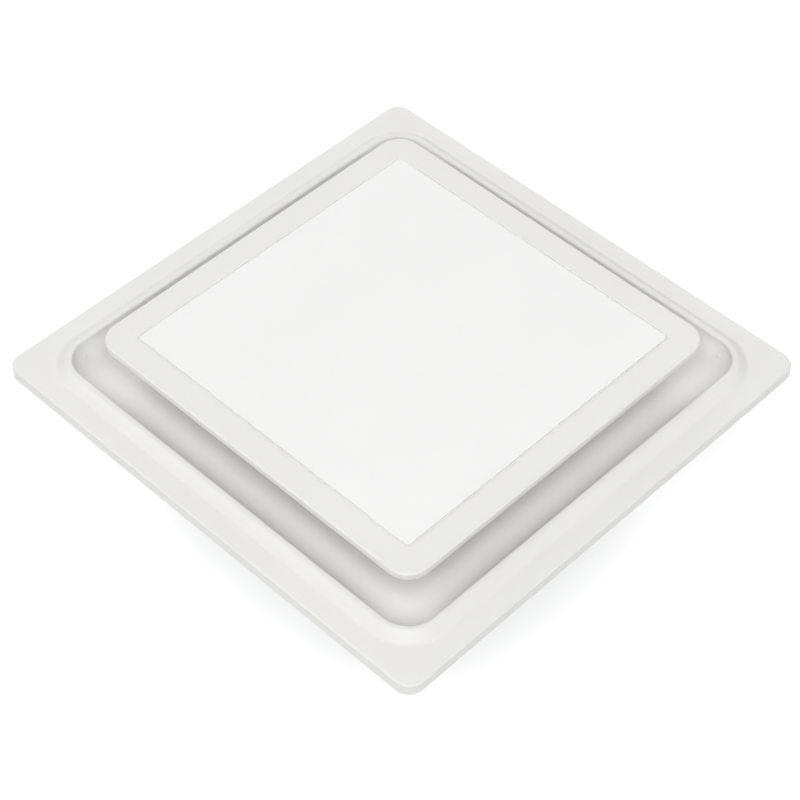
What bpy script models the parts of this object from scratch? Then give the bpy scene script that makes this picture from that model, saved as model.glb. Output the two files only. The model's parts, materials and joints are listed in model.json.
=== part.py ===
"""Square bathroom ceiling fan with a light panel, face up, in metres.

The origin is the middle of the housing's flat back, and +Z points out of the light panel, towards
the room. The duct leaves towards -X.
"""
import math

import bmesh
import bpy
from mathutils import Matrix, Vector

# Fits and cuts
SEAT_GAP = 0.0003
OVERRUN = 0.002
FUSE_DEPTH = 0.0005
WELD_DISTANCE = 0.000001

# Housing box
HOUSING_HALF = 0.100
HOUSING_DEPTH = 0.096
HOUSING_WALL = 0.0012
HOUSING_CORNER = 0.003
RIM_FLANGE_WIDTH = 0.012
FLANGE_HOLE_RADIUS = 0.0026
FLANGE_HOLE_REACH_SHARE = 0.6

# Grille frame: heights are counted from the top of its outer rim
GRILLE_CORNER = 0.010
GRILLE_WALL = 0.0022
GRILLE_RIM_HEIGHT = 0.0077
GRILLE_EDGE = 0.0010
FLANGE_BAND = 0.02275
LIP_CORNER = 0.019
LIP_RISE = 0.0052
LIP_EDGE = 0.0013
LIP_LAND = 0.0037
SLOPE_WIDTH = 0.0060
SLOPE_BLEND = 0.0016
AIR_GAP = 0.01555
COVE_WIDTH = 0.016
COVE_DEPTH = 0.0104
COVE_FOOT_CORNER = 0.010
SPIGOT_CLEARANCE = 0.0028
SPIGOT_WALL = 0.002
SPIGOT_DEPTH = 0.0126
SPIGOT_CORNER = 0.006
POST_CLEARANCE = 0.0028
POST_RADIUS = 0.0042
POST_BORE = 0.0018

# Light panel: heights are counted from the top of the grille's outer rim
BEZEL_BAND = 0.0181
BEZEL_CORNER = 0.015
BEZEL_TOP = 0.0220
BEZEL_THICK = 0.0050
BEZEL_EDGE = 0.0012
BEZEL_LEDGE = 0.0046
BEZEL_LEDGE_THICK = 0.0026
WINDOW_CORNER = 0.0018
WINDOW_GROOVE = 0.0007
DIFFUSER_PROUD = 0.0006
DIFFUSER_EDGE = 0.0004
GUIDE_INSET = 0.012
GUIDE_THICK = 0.003
REFLECTOR_THICK = 0.0005
FOAM_INSET = 0.006
PAN_BAND = 0.013
PAN_CORNER = 0.008
PAN_WALL = 0.001
PAN_DEPTH = 0.0090
STRIP_END_INSET = 0.008
STRIP_THICK = 0.001
LED_COUNT = 12
LED_SIZE = 0.0030
LED_THICK = 0.0009
PAN_SCREW_HEAD_RADIUS = 0.0034
PAN_SCREW_HEAD_HEIGHT = 0.0020
PAN_SCREW_RADIUS = 0.0014
PAN_SCREW_LENGTH = 0.009

# LED driver under the pan, its lead and the parked plug
DRIVER_CENTRE_Y = 0.030
DRIVER_HALF_X = 0.042
DRIVER_HALF_Y = 0.020
DRIVER_HEIGHT = 0.020
DRIVER_WALL = 0.0015
DRIVER_CORNER = 0.003
BOARD_THICK = 0.0016
BOARD_MARGIN = 0.0012
BOARD_FOOT = 0.0020
COIL_CAN_RADIUS = 0.0065
COIL_CAN_HEIGHT = 0.010
CHOKE_HALF_X = 0.009
CHOKE_HALF_Y = 0.008
CHOKE_HEIGHT = 0.009
LIGHT_LEAD_RADIUS = 0.0017
LIGHT_LEAD_REACH = 0.020
PLUG_LENGTH = 0.016
PLUG_HALF_WIDTH = 0.006
PLUG_HALF_HEIGHT = 0.004
PLUG_CORNER = 0.001
PLUG_CLIP_WALL = 0.0012
PLUG_CLIP_LENGTH = 0.010
PLUG_PARK_X = -0.040
PLUG_PARK_Y = -0.004

# Torsion springs that hold the grille up
SPRING_WIRE = 0.0010
SPRING_COIL_RADIUS = 0.0050
SPRING_COIL_TURNS = 2.5
SPRING_PITCH = 0.0026
SPRING_AXIS_DROP = 0.006
SPRING_SLOT_X = 0.018
SPRING_SLOT_DROP = 0.030
SPRING_LEG_LENGTH = 0.088
SPRING_HOOK = 0.005
SPRING_EYE_TURN_SHARE = 0.8
SPRING_EYE_STEPS = 16
CLIP_HALF_WIDTH = 0.011
CLIP_HALF_HEIGHT = 0.0062
CLIP_SHEET = 0.0008
CLIP_PIN_RADIUS = 0.0033
CLIP_HEAD_RADIUS = 0.0050
CLIP_HEAD_THICK = 0.0010
SLOT_CLEARANCE = 0.0011
SLOT_SWAY = 0.0032
RECEIVER_HALF_WIDTH = 0.032
RECEIVER_SHEET = 0.0012
RECEIVER_HEIGHT = 0.018
RECEIVER_LIP = 0.0016

# Blower
BLOWER_X = -0.005
BLOWER_Y = -0.004
CASING_LIFT = 0.006
CASING_WALL = 0.0015
CASING_HEIGHT = 0.060
SCROLL_SIDE_ROOM = 0.020
SCROLL_GROWTH = 0.020
SCROLL_STEPS = 28
OUTLET_LOW_Y = 0.010
HUB_HOLE_OVERLAP = 0.010
LUG_RADIUS = 0.006
LUG_BORE = 0.0023
LUG_HEIGHT = 0.0145
LUG_RIB = 0.003
CASING_SCREW_RADIUS = 0.0019
CASING_SCREW_HEAD_RADIUS = 0.0045
CASING_SCREW_HEAD_HEIGHT = 0.0024
INLET_OVERLAP = 0.002
INLET_PLATE = 0.0015
INLET_LIP_RISE = 0.0040
INLET_LIP_ROLL = 0.0050
WHEEL_CLEARANCE = 0.004
BLADE_DEPTH = 0.009
WHEEL_BASE_LIFT = 0.0045
WHEEL_HEADROOM = 0.002
WHEEL_WALL = 0.0016
WHEEL_RING_WIDTH = 0.005
WHEEL_RING_HEIGHT = 0.002
WHEEL_BLADES = 28
BLADE_THICK = 0.0009
BLADE_LEAN = math.radians(9)
BLADE_STEPS = 3
HUB_RADIUS = 0.006
HUB_HEIGHT = 0.0075
CLIP_RING_RADIUS = 0.0050
CLIP_RING_THICK = 0.0008

# Motor inside the wheel
END_PLATE_BAND = 0.006
END_PLATE_THICK = 0.0012
CAN_RADIUS_SHARE = 17 / 27
CAN_HEIGHT = 0.029
CAN_WALL = 0.0012
CAN_CLEARANCE = 0.0022
SHAFT_RADIUS = 0.0025
SHAFT_TAIL = 0.0015
ROTOR_RADIUS_SHARE = 0.5
ROTOR_LENGTH = 0.018
ROTOR_AIR_GAP = 0.0005
STATOR_LENGTH = 0.014
STATOR_SLOTS = 8
STATOR_SLOT_WIDTH = 0.004
STATOR_SLOT_DEPTH = 0.007
WINDING_HEIGHT = 0.0050
WINDING_INSET_SHARE = 1 / 5
BEARING_LOWER_RADIUS = 0.0080
BEARING_LOWER_HEIGHT = 0.0050
BEARING_UPPER_RADIUS = 0.0065
BEARING_UPPER_HEIGHT = 0.0050

# Duct collar and damper
DUCT_SHIFT = 0.002
DUCT_RADIUS = 0.038
DUCT_WALL = 0.002
DUCT_LENGTH = 0.042
DUCT_PLATE_BAND = 0.006
DUCT_PLATE_EDGE = 0.004
DUCT_PLATE_CORNER = 0.006
DUCT_PLATE_THICK = 0.002
DAMPER_INSET = 0.006
DAMPER_OFFSET = 0.006
DAMPER_CLEARANCE = 0.0015
DAMPER_THICK = 0.0012
DAMPER_BARREL = 0.0024
DAMPER_BARREL_HALF = 0.030
DAMPER_PIN = 0.0010

# Wiring compartment on the +X side
WIRING_DEPTH = 0.0205
WIRING_HALF_LENGTH = 0.060
WIRING_HEIGHT = 0.0555
WIRING_SHEET = 0.001
SOCKET_Y = 0.020
SOCKET_HALF_X = 0.0055
SOCKET_HALF_Y = 0.0075
SOCKET_DEPTH = 0.009
SOCKET_BROW = 0.0015
SOCKET_BROW_THICK = 0.0016
SOCKET_WELL_MARGIN = 0.0014
SOCKET_WELL_DEPTH = 0.006
FAN_PLUG_HEIGHT = 0.014
CAPACITOR_Y = -0.034
CAPACITOR_HALF_Y = 0.017
CAPACITOR_THICK = 0.0145
CAPACITOR_HEIGHT = 0.026
CAPACITOR_LIFT = 0.0003
CAPACITOR_EDGE = 0.0015
GROMMET_Z = 0.030
GROMMET_NECK = 0.0100
GROMMET_BROW = 0.0130
GROMMET_BORE = 0.0050
GROMMET_BROW_THICK = 0.0018
MOTOR_LEAD_RADIUS = 0.0016
MOTOR_LEAD_START_SHARE = 9 / 17
MOTOR_LEAD_SIDE_GAP = 0.0042
MOTOR_LEAD_CORNER_GAP = 0.002
MOTOR_LEAD_RISE_GAP = 0.010
MOTOR_LEAD_BEND = 0.006

# How finely round shapes are divided
CORNER_STEPS = 4
TURN_STEPS = 28
SMALL_TURN_STEPS = 12
WIRE_SIDES_RESOLUTION = 1
BEND_STEPS = 4
SMOOTH_ANGLE = math.radians(35)

# Finishes: colour, roughness, metallic
WHITE_PLASTIC = ((0.80, 0.795, 0.785), 0.38, 0.0)
OPAL = ((0.88, 0.88, 0.875), 0.45, 0.0)
CLEAR_ACRYLIC = ((0.82, 0.86, 0.88), 0.10, 0.0)
REFLECTOR_WHITE = ((0.92, 0.92, 0.92), 0.55, 0.0)
GREY_FOAM = ((0.30, 0.30, 0.31), 0.95, 0.0)
BOARD_GREEN = ((0.06, 0.22, 0.11), 0.50, 0.0)
ALUMINIUM = ((0.72, 0.73, 0.74), 0.35, 1.0)
GALVANISED = ((0.55, 0.57, 0.58), 0.42, 1.0)
SPRING_STEEL = ((0.45, 0.45, 0.46), 0.30, 1.0)
BRIGHT_STEEL = ((0.62, 0.62, 0.63), 0.25, 1.0)
CORE_STEEL = ((0.20, 0.21, 0.23), 0.50, 1.0)
COPPER = ((0.60, 0.25, 0.11), 0.35, 1.0)
BLACK_PLASTIC = ((0.03, 0.03, 0.03), 0.50, 0.0)
GREY_PLASTIC = ((0.22, 0.22, 0.23), 0.50, 0.0)
LEAD_GREY = ((0.14, 0.14, 0.15), 0.55, 0.0)
RUBBER = ((0.02, 0.02, 0.02), 0.80, 0.0)

# Plan sizes worked out from the housing outwards to the grille's rim
HOUSING_INNER = HOUSING_HALF - HOUSING_WALL
SPIGOT_HALF = HOUSING_INNER - SPIGOT_CLEARANCE
POST_HALF = SPIGOT_HALF + POST_CLEARANCE + POST_RADIUS
PAN_HALF = POST_HALF + PAN_BAND
GUIDE_HALF = PAN_HALF - GUIDE_INSET
FOAM_HALF = GUIDE_HALF - FOAM_INSET
STRIP_HALF_LENGTH = GUIDE_HALF - STRIP_END_INSET
WINDOW_HALF = GUIDE_HALF + BEZEL_LEDGE
BEZEL_HALF = WINDOW_HALF + BEZEL_BAND
LIP_HALF = BEZEL_HALF + AIR_GAP
GRILLE_HALF = LIP_HALF + FLANGE_BAND

# Heights worked out from the sizes above
CEILING_Z = HOUSING_DEPTH
RIM_TOP = CEILING_Z + SEAT_GAP + GRILLE_RIM_HEIGHT
LIP_TOP = RIM_TOP + LIP_RISE
FLOOR_TOP = LIP_TOP - COVE_DEPTH
FLOOR_BOTTOM = FLOOR_TOP - GRILLE_WALL
BEZEL_TOP_Z = RIM_TOP + BEZEL_TOP
BEZEL_BOTTOM_Z = BEZEL_TOP_Z - BEZEL_THICK
PAN_TOP = BEZEL_BOTTOM_Z - SEAT_GAP
PAN_BOTTOM = PAN_TOP - PAN_DEPTH
PAN_FLOOR_TOP = PAN_BOTTOM + PAN_WALL
DRIVER_TOP = PAN_BOTTOM - SEAT_GAP
SPRING_AXIS_Z = CEILING_Z - SPRING_AXIS_DROP
SHELF_Z = SPRING_AXIS_Z - SPRING_SLOT_DROP
CLIP_FACE = SPIGOT_HALF - SPIGOT_WALL - SEAT_GAP
SPRING_HALF_PACK = SPRING_COIL_TURNS / 2 * SPRING_PITCH + SPRING_PITCH
SPRING_MIDDLE = CLIP_FACE - CLIP_SHEET - SEAT_GAP - SPRING_WIRE - SPRING_HALF_PACK
CASING_BASE = HOUSING_WALL + SEAT_GAP
CASING_FLOOR_TOP = CASING_LIFT + CASING_WALL
CASING_TOP = CASING_LIFT + CASING_HEIGHT
END_PLATE_BOTTOM = CASING_FLOOR_TOP + SEAT_GAP
CAN_BOTTOM = END_PLATE_BOTTOM + END_PLATE_THICK + SEAT_GAP
CAN_TOP = CAN_BOTTOM + CAN_HEIGHT
WHEEL_BOTTOM = CASING_FLOOR_TOP + WHEEL_BASE_LIFT
WHEEL_TOP = CASING_TOP - WHEEL_HEADROOM
HUB_FLOOR = CAN_TOP + CAN_CLEARANCE
WIRING_TOP = CASING_BASE + WIRING_HEIGHT
DUCT_Z = HOUSING_DEPTH / 2 - DUCT_SHIFT
DAMPER_Z = DUCT_Z - DAMPER_OFFSET

# Plan sizes of what the housing holds
WIRING_X = HOUSING_INNER - SEAT_GAP - WIRING_DEPTH
SOCKET_X = HOUSING_INNER - WIRING_DEPTH / 2
SCROLL_START_RADIUS = WIRING_X - SCROLL_SIDE_ROOM
WHEEL_RADIUS = SCROLL_START_RADIUS - WHEEL_CLEARANCE
WHEEL_EYE_RADIUS = WHEEL_RADIUS - BLADE_DEPTH
INLET_RADIUS = WHEEL_EYE_RADIUS - INLET_OVERLAP
CAN_RADIUS = WHEEL_RADIUS * CAN_RADIUS_SHARE
ROTOR_RADIUS = CAN_RADIUS * ROTOR_RADIUS_SHARE
END_PLATE_RADIUS = CAN_RADIUS + END_PLATE_BAND
CASING_HUB_HOLE = END_PLATE_RADIUS - HUB_HOLE_OVERLAP
OUTLET_END_X = SEAT_GAP - HOUSING_INNER
OUTLET_TOP_Y = BLOWER_Y + SCROLL_START_RADIUS + SCROLL_GROWTH
DUCT_Y = (OUTLET_LOW_Y + OUTLET_TOP_Y) / 2
DUCT_PLATE_X = -HOUSING_HALF - SEAT_GAP
DAMPER_X = DUCT_PLATE_X - DUCT_PLATE_THICK - DAMPER_INSET
MOTOR_LEAD_START_X = CAN_RADIUS * MOTOR_LEAD_START_SHARE
MOTOR_LEAD_RUN_X = WIRING_X - MOTOR_LEAD_SIDE_GAP
MOTOR_LEAD_CORNER_Y = -WIRING_HALF_LENGTH - MOTOR_LEAD_CORNER_GAP
MOTOR_LEAD_RISE_Y = -WIRING_HALF_LENGTH - MOTOR_LEAD_RISE_GAP

BLOWER_AXIS = Vector((BLOWER_X, BLOWER_Y, 0))
SCROLL_START = math.radians(100)
SCROLL_END = math.radians(450)
TONGUE_ANGLE = math.radians(125)
LUG_PLACES = (
    (BLOWER_X + SCROLL_START_RADIUS - LUG_RIB, BLOWER_Y - SCROLL_START_RADIUS - LUG_RIB),
    (BLOWER_X - SCROLL_START_RADIUS, BLOWER_Y - SCROLL_START_RADIUS + LUG_RIB),
    (BLOWER_X + SCROLL_START_RADIUS + LUG_RIB, BLOWER_Y + SCROLL_START_RADIUS + 2 * LUG_RADIUS),
)


def clear_scene():
    """Removes every object, so that the script starts from nothing."""
    for obj in list(bpy.data.objects):
        bpy.data.objects.remove(obj, do_unlink=True)


def close_shape(bm):
    """Welds coincident points and turns every face outwards."""
    bmesh.ops.remove_doubles(bm, verts=bm.verts, dist=WELD_DISTANCE)
    bmesh.ops.recalc_face_normals(bm, faces=bm.faces)
    return bm


def block(low, high):
    """A box between two corners."""
    bm = bmesh.new()
    bmesh.ops.create_cube(bm, size=1)
    size = Vector(high) - Vector(low)
    middle = (Vector(high) + Vector(low)) / 2
    bmesh.ops.scale(bm, vec=size, verts=bm.verts)
    bmesh.ops.translate(bm, vec=middle, verts=bm.verts)
    return bm


def prism(outline, low, high):
    """An outline of (x, y) points drawn up from one height to another."""
    bm = bmesh.new()
    face = bm.faces.new([bm.verts.new((x, y, low)) for x, y in outline])
    walls = bmesh.ops.extrude_face_region(bm, geom=[face])
    top = [item for item in walls["geom"] if isinstance(item, bmesh.types.BMVert)]
    bmesh.ops.translate(bm, vec=(0, 0, high - low), verts=top)
    return close_shape(bm)


def turned(profile, ring=True, steps=TURN_STEPS):
    """A profile of (radius, height) points turned about Z; a ring's profile closes on itself."""
    bm = bmesh.new()
    verts = [bm.verts.new((radius, 0, height)) for radius, height in profile]
    edges = [bm.edges.new(pair) for pair in zip(verts, verts[1:])]
    if ring:
        edges.append(bm.edges.new((verts[-1], verts[0])))
    bmesh.ops.spin(bm, geom=verts + edges, cent=(0, 0, 0), axis=(0, 0, 1), angle=math.tau,
                   steps=steps, use_merge=True)
    return close_shape(bm)


def disc(radius, low, high, steps=TURN_STEPS):
    """A plain round solid on Z."""
    return turned([(0, low), (radius, low), (radius, high), (0, high)], ring=False, steps=steps)


def washer(inner, outer, low, high, steps=TURN_STEPS):
    """A round solid on Z with a round bore."""
    return turned([(inner, low), (outer, low), (outer, high), (inner, high)], steps=steps)


def rounded_outline(half_x, half_y, radius, steps=CORNER_STEPS):
    """The (x, y) points of a rectangle with round corners, anticlockwise."""
    points = []
    for number, (side_x, side_y) in enumerate(((1, -1), (1, 1), (-1, 1), (-1, -1))):
        for step in range(steps + 1):
            angle = (number - 1 + step / steps) * math.pi / 2
            points.append((side_x * (half_x - radius) + radius * math.cos(angle),
                           side_y * (half_y - radius) + radius * math.sin(angle)))
    return points


def bridge_rings(rings, closed):
    """Skins rings of points one to the next, and back to the first where the section is closed."""
    bm = bmesh.new()
    loops = [[bm.verts.new(point) for point in ring] for ring in rings]
    pairs = list(zip(loops, loops[1:]))
    if closed:
        pairs.append((loops[-1], loops[0]))
    for near, far in pairs:
        for number in range(len(near)):
            bm.faces.new((near[number - 1], near[number], far[number], far[number - 1]))
    if not closed:
        bm.faces.new(loops[0])
        bm.faces.new(loops[-1])
    return close_shape(bm)


def square_section(section, closed=True):
    """A section of (half size, corner radius, height) rows run round a square."""
    rings = []
    for half, radius, height in section:
        rings.append([(x, y, height) for x, y in rounded_outline(half, half, radius)])
    return bridge_rings(rings, closed)


def move(bm, offset):
    """Shifts a shape."""
    bmesh.ops.translate(bm, vec=offset, verts=bm.verts)
    return bm


def point_z_along(bm, axis):
    """Turns a shape so that its Z runs along X or Y."""
    turn = {"X": Matrix.Rotation(math.pi / 2, 3, "Y"), "Y": Matrix.Rotation(-math.pi / 2, 3, "X")}
    bmesh.ops.rotate(bm, cent=(0, 0, 0), matrix=turn[axis], verts=bm.verts)
    return bm


def to_object(name, bm):
    """Makes a scene object of a shape."""
    mesh = bpy.data.meshes.new(name)
    bm.to_mesh(mesh)
    bm.free()
    obj = bpy.data.objects.new(name, mesh)
    bpy.context.scene.collection.objects.link(obj)
    return obj


def combine(obj, bm, operation):
    """Joins a shape to an object, or cuts it out."""
    tool = to_object(obj.name + "_tool", bm)
    modifier = obj.modifiers.new(operation.lower(), "BOOLEAN")
    modifier.operation = operation
    modifier.solver = "EXACT"
    modifier.object = tool
    depsgraph = bpy.context.evaluated_depsgraph_get()
    result = bpy.data.meshes.new_from_object(obj.evaluated_get(depsgraph))
    obj.modifiers.clear()
    obj.data = result
    bpy.data.objects.remove(tool, do_unlink=True)


def cut(obj, bm):
    """Cuts a shape out of an object."""
    combine(obj, bm, "DIFFERENCE")


def fuse(obj, bm):
    """Joins a shape to an object."""
    combine(obj, bm, "UNION")


def finish(obj, look):
    """Gives an object its own material and smooth round faces."""
    colour, roughness, metallic = look
    material = bpy.data.materials.new(obj.name)
    material.use_nodes = True
    shader = material.node_tree.nodes["Principled BSDF"]
    shader.inputs["Base Color"].default_value = (*colour, 1)
    shader.inputs["Roughness"].default_value = roughness
    shader.inputs["Metallic"].default_value = metallic
    obj.data.materials.clear()
    obj.data.materials.append(material)
    if obj.type == "MESH":
        obj.data.shade_smooth()
        obj.data.set_sharp_from_angle(angle=SMOOTH_ANGLE)
    return obj


def piece(name, bm, look):
    """A finished object straight from one shape."""
    return finish(to_object(name, bm), look)


def wire(name, points, radius, look):
    """A round wire or lead through a list of points, with closed ends."""
    curve = bpy.data.curves.new(name, "CURVE")
    curve.dimensions = "3D"
    curve.bevel_depth = radius
    curve.bevel_resolution = WIRE_SIDES_RESOLUTION
    curve.use_fill_caps = True
    spline = curve.splines.new("POLY")
    spline.points.add(len(points) - 1)
    for place, point in zip(spline.points, points):
        place.co = (*point, 1)
    obj = bpy.data.objects.new(name, curve)
    bpy.context.scene.collection.objects.link(obj)
    return finish(obj, look)


def smooth_route(corners, bend):
    """Points along a route whose corners are rounded by quadratic curves."""
    corners = [Vector(corner) for corner in corners]
    points = [corners[0]]
    for before, corner, after in zip(corners, corners[1:], corners[2:]):
        start = corner + (before - corner).normalized() * bend
        end = corner + (after - corner).normalized() * bend
        for step in range(BEND_STEPS + 1):
            share = step / BEND_STEPS
            points.append(start.lerp(corner, share).lerp(corner.lerp(end, share), share))
    points.append(corners[-1])
    return points


def hang_on(obj, carrier):
    """Parents an object to its joint's empty without moving it."""
    obj.parent = carrier
    obj.matrix_parent_inverse = carrier.matrix_world.inverted()


def joint_empty(name, place):
    """An empty on a joint's axis."""
    empty = bpy.data.objects.new(name, None)
    empty.location = place
    bpy.context.scene.collection.objects.link(empty)
    bpy.context.view_layer.update()
    return empty


def polar(radius, angle):
    """A plan point about the blower's axis."""
    return (BLOWER_X + radius * math.cos(angle), BLOWER_Y + radius * math.sin(angle))


def build_housing():
    """The folded steel box with its rim flange and holes."""
    shell = to_object("housing_shell", prism(
        rounded_outline(HOUSING_HALF, HOUSING_HALF, HOUSING_CORNER), 0, HOUSING_DEPTH))
    flange_half = HOUSING_HALF + RIM_FLANGE_WIDTH
    fuse(shell, prism(rounded_outline(flange_half, flange_half, HOUSING_CORNER),
                      HOUSING_DEPTH - HOUSING_WALL, HOUSING_DEPTH))
    cut(shell, prism(rounded_outline(HOUSING_INNER, HOUSING_INNER, HOUSING_CORNER - HOUSING_WALL),
                     HOUSING_WALL, HOUSING_DEPTH + OVERRUN))
    duct_hole = point_z_along(disc(DUCT_RADIUS - DUCT_WALL + OVERRUN, -OVERRUN, HOUSING_WALL + OVERRUN), "X")
    cut(shell, move(duct_hole, (-HOUSING_HALF, DUCT_Y, DUCT_Z)))
    wire_hole = disc(GROMMET_NECK + SEAT_GAP, -OVERRUN, HOUSING_WALL + OVERRUN, SMALL_TURN_STEPS)
    cut(shell, move(point_z_along(wire_hole, "X"), (HOUSING_INNER, 0, GROMMET_Z)))
    reach = HOUSING_HALF + RIM_FLANGE_WIDTH / 2
    side = HOUSING_HALF * FLANGE_HOLE_REACH_SHARE
    for x, y in ((reach, side), (reach, -side), (-reach, side), (-reach, -side),
                 (side, reach), (-side, reach), (side, -reach), (-side, -reach)):
        hole = disc(FLANGE_HOLE_RADIUS, HOUSING_DEPTH - HOUSING_WALL - OVERRUN,
                    HOUSING_DEPTH + OVERRUN, SMALL_TURN_STEPS)
        cut(shell, move(hole, (x, y, 0)))
    finish(shell, GALVANISED)


def grille_section():
    """The rows of the grille's section, up its outer side, across its face and back underneath."""
    lip_wall_top = LIP_TOP - LIP_EDGE
    foot_half = LIP_HALF - COVE_WIDTH
    cove_height = lip_wall_top - FLOOR_TOP
    slope_foot = LIP_HALF + LIP_LAND + SLOPE_WIDTH
    slope_head = LIP_HALF + LIP_LAND
    slope_corner = LIP_CORNER + LIP_LAND + SLOPE_WIDTH
    rows = [
        (GRILLE_HALF, GRILLE_CORNER, CEILING_Z + SEAT_GAP),
        (GRILLE_HALF, GRILLE_CORNER, RIM_TOP - GRILLE_EDGE),
    ]
    for angle in (math.radians(45), math.radians(90)):
        inset = GRILLE_EDGE * (1 - math.cos(angle))
        rows.append((GRILLE_HALF - inset, GRILLE_CORNER - inset,
                     RIM_TOP - GRILLE_EDGE + GRILLE_EDGE * math.sin(angle)))
    for half, height in ((slope_foot + SLOPE_BLEND, RIM_TOP),
                         (slope_foot - SLOPE_BLEND / 2, RIM_TOP + SLOPE_BLEND / 2),
                         (slope_head + SLOPE_BLEND / 2, LIP_TOP - SLOPE_BLEND / 2),
                         (slope_head - SLOPE_BLEND / 2, LIP_TOP)):
        rows.append((half, slope_corner + half - slope_foot, height))
    for angle in (math.radians(90), math.radians(45), 0):
        inset = LIP_EDGE * (1 - math.cos(angle))
        rows.append((LIP_HALF + inset, LIP_CORNER + inset, lip_wall_top + LIP_EDGE * math.sin(angle)))
    corner_growth = LIP_CORNER - COVE_FOOT_CORNER
    for degrees in (18, 36, 54, 72, 90):
        angle = math.radians(degrees)
        rows.append((foot_half + COVE_WIDTH * math.cos(angle),
                     COVE_FOOT_CORNER + corner_growth * math.cos(angle),
                     lip_wall_top - cove_height * math.sin(angle)))
    spigot_inner = SPIGOT_HALF - SPIGOT_WALL
    rows += [
        (spigot_inner, SPIGOT_CORNER - SPIGOT_WALL, FLOOR_TOP),
        (spigot_inner, SPIGOT_CORNER - SPIGOT_WALL, FLOOR_BOTTOM - SPIGOT_DEPTH),
        (SPIGOT_HALF, SPIGOT_CORNER, FLOOR_BOTTOM - SPIGOT_DEPTH),
        (SPIGOT_HALF, SPIGOT_CORNER, FLOOR_BOTTOM),
    ]
    for degrees in (90, 66, 42, 18):
        angle = math.radians(degrees)
        rows.append((foot_half + (COVE_WIDTH + GRILLE_WALL) * math.cos(angle),
                     COVE_FOOT_CORNER + (corner_growth + GRILLE_WALL) * math.cos(angle),
                     lip_wall_top - (cove_height + GRILLE_WALL) * math.sin(angle)))
    ridge_half = LIP_HALF + LIP_LAND - GRILLE_EDGE / 2
    slope_under = slope_foot - GRILLE_WALL / 2
    rows += [
        (ridge_half, LIP_CORNER + ridge_half - LIP_HALF, LIP_TOP - GRILLE_WALL),
        (slope_under, LIP_CORNER + slope_under - LIP_HALF, RIM_TOP - GRILLE_WALL),
        (GRILLE_HALF - GRILLE_WALL, GRILLE_CORNER - GRILLE_WALL, RIM_TOP - GRILLE_WALL),
        (GRILLE_HALF - GRILLE_WALL, GRILLE_CORNER - GRILLE_WALL, CEILING_Z + SEAT_GAP),
    ]
    return rows


def post_places():
    """The four plan points of the light panel's posts."""
    return [(x * POST_HALF, y * POST_HALF) for x in (1, -1) for y in (1, -1)]


def build_grille_frame():
    """The moulded flange, lip, air trough and spigot, with four posts for the light."""
    frame = to_object("grille_frame", square_section(grille_section()))
    for x, y in post_places():
        post = disc(POST_RADIUS, FLOOR_TOP - FUSE_DEPTH, PAN_BOTTOM - SEAT_GAP, SMALL_TURN_STEPS)
        fuse(frame, move(post, (x, y, 0)))
        bore = disc(POST_BORE, FLOOR_TOP + GRILLE_WALL, PAN_BOTTOM + OVERRUN, SMALL_TURN_STEPS)
        cut(frame, move(bore, (x, y, 0)))
    return finish(frame, WHITE_PLASTIC)


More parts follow.
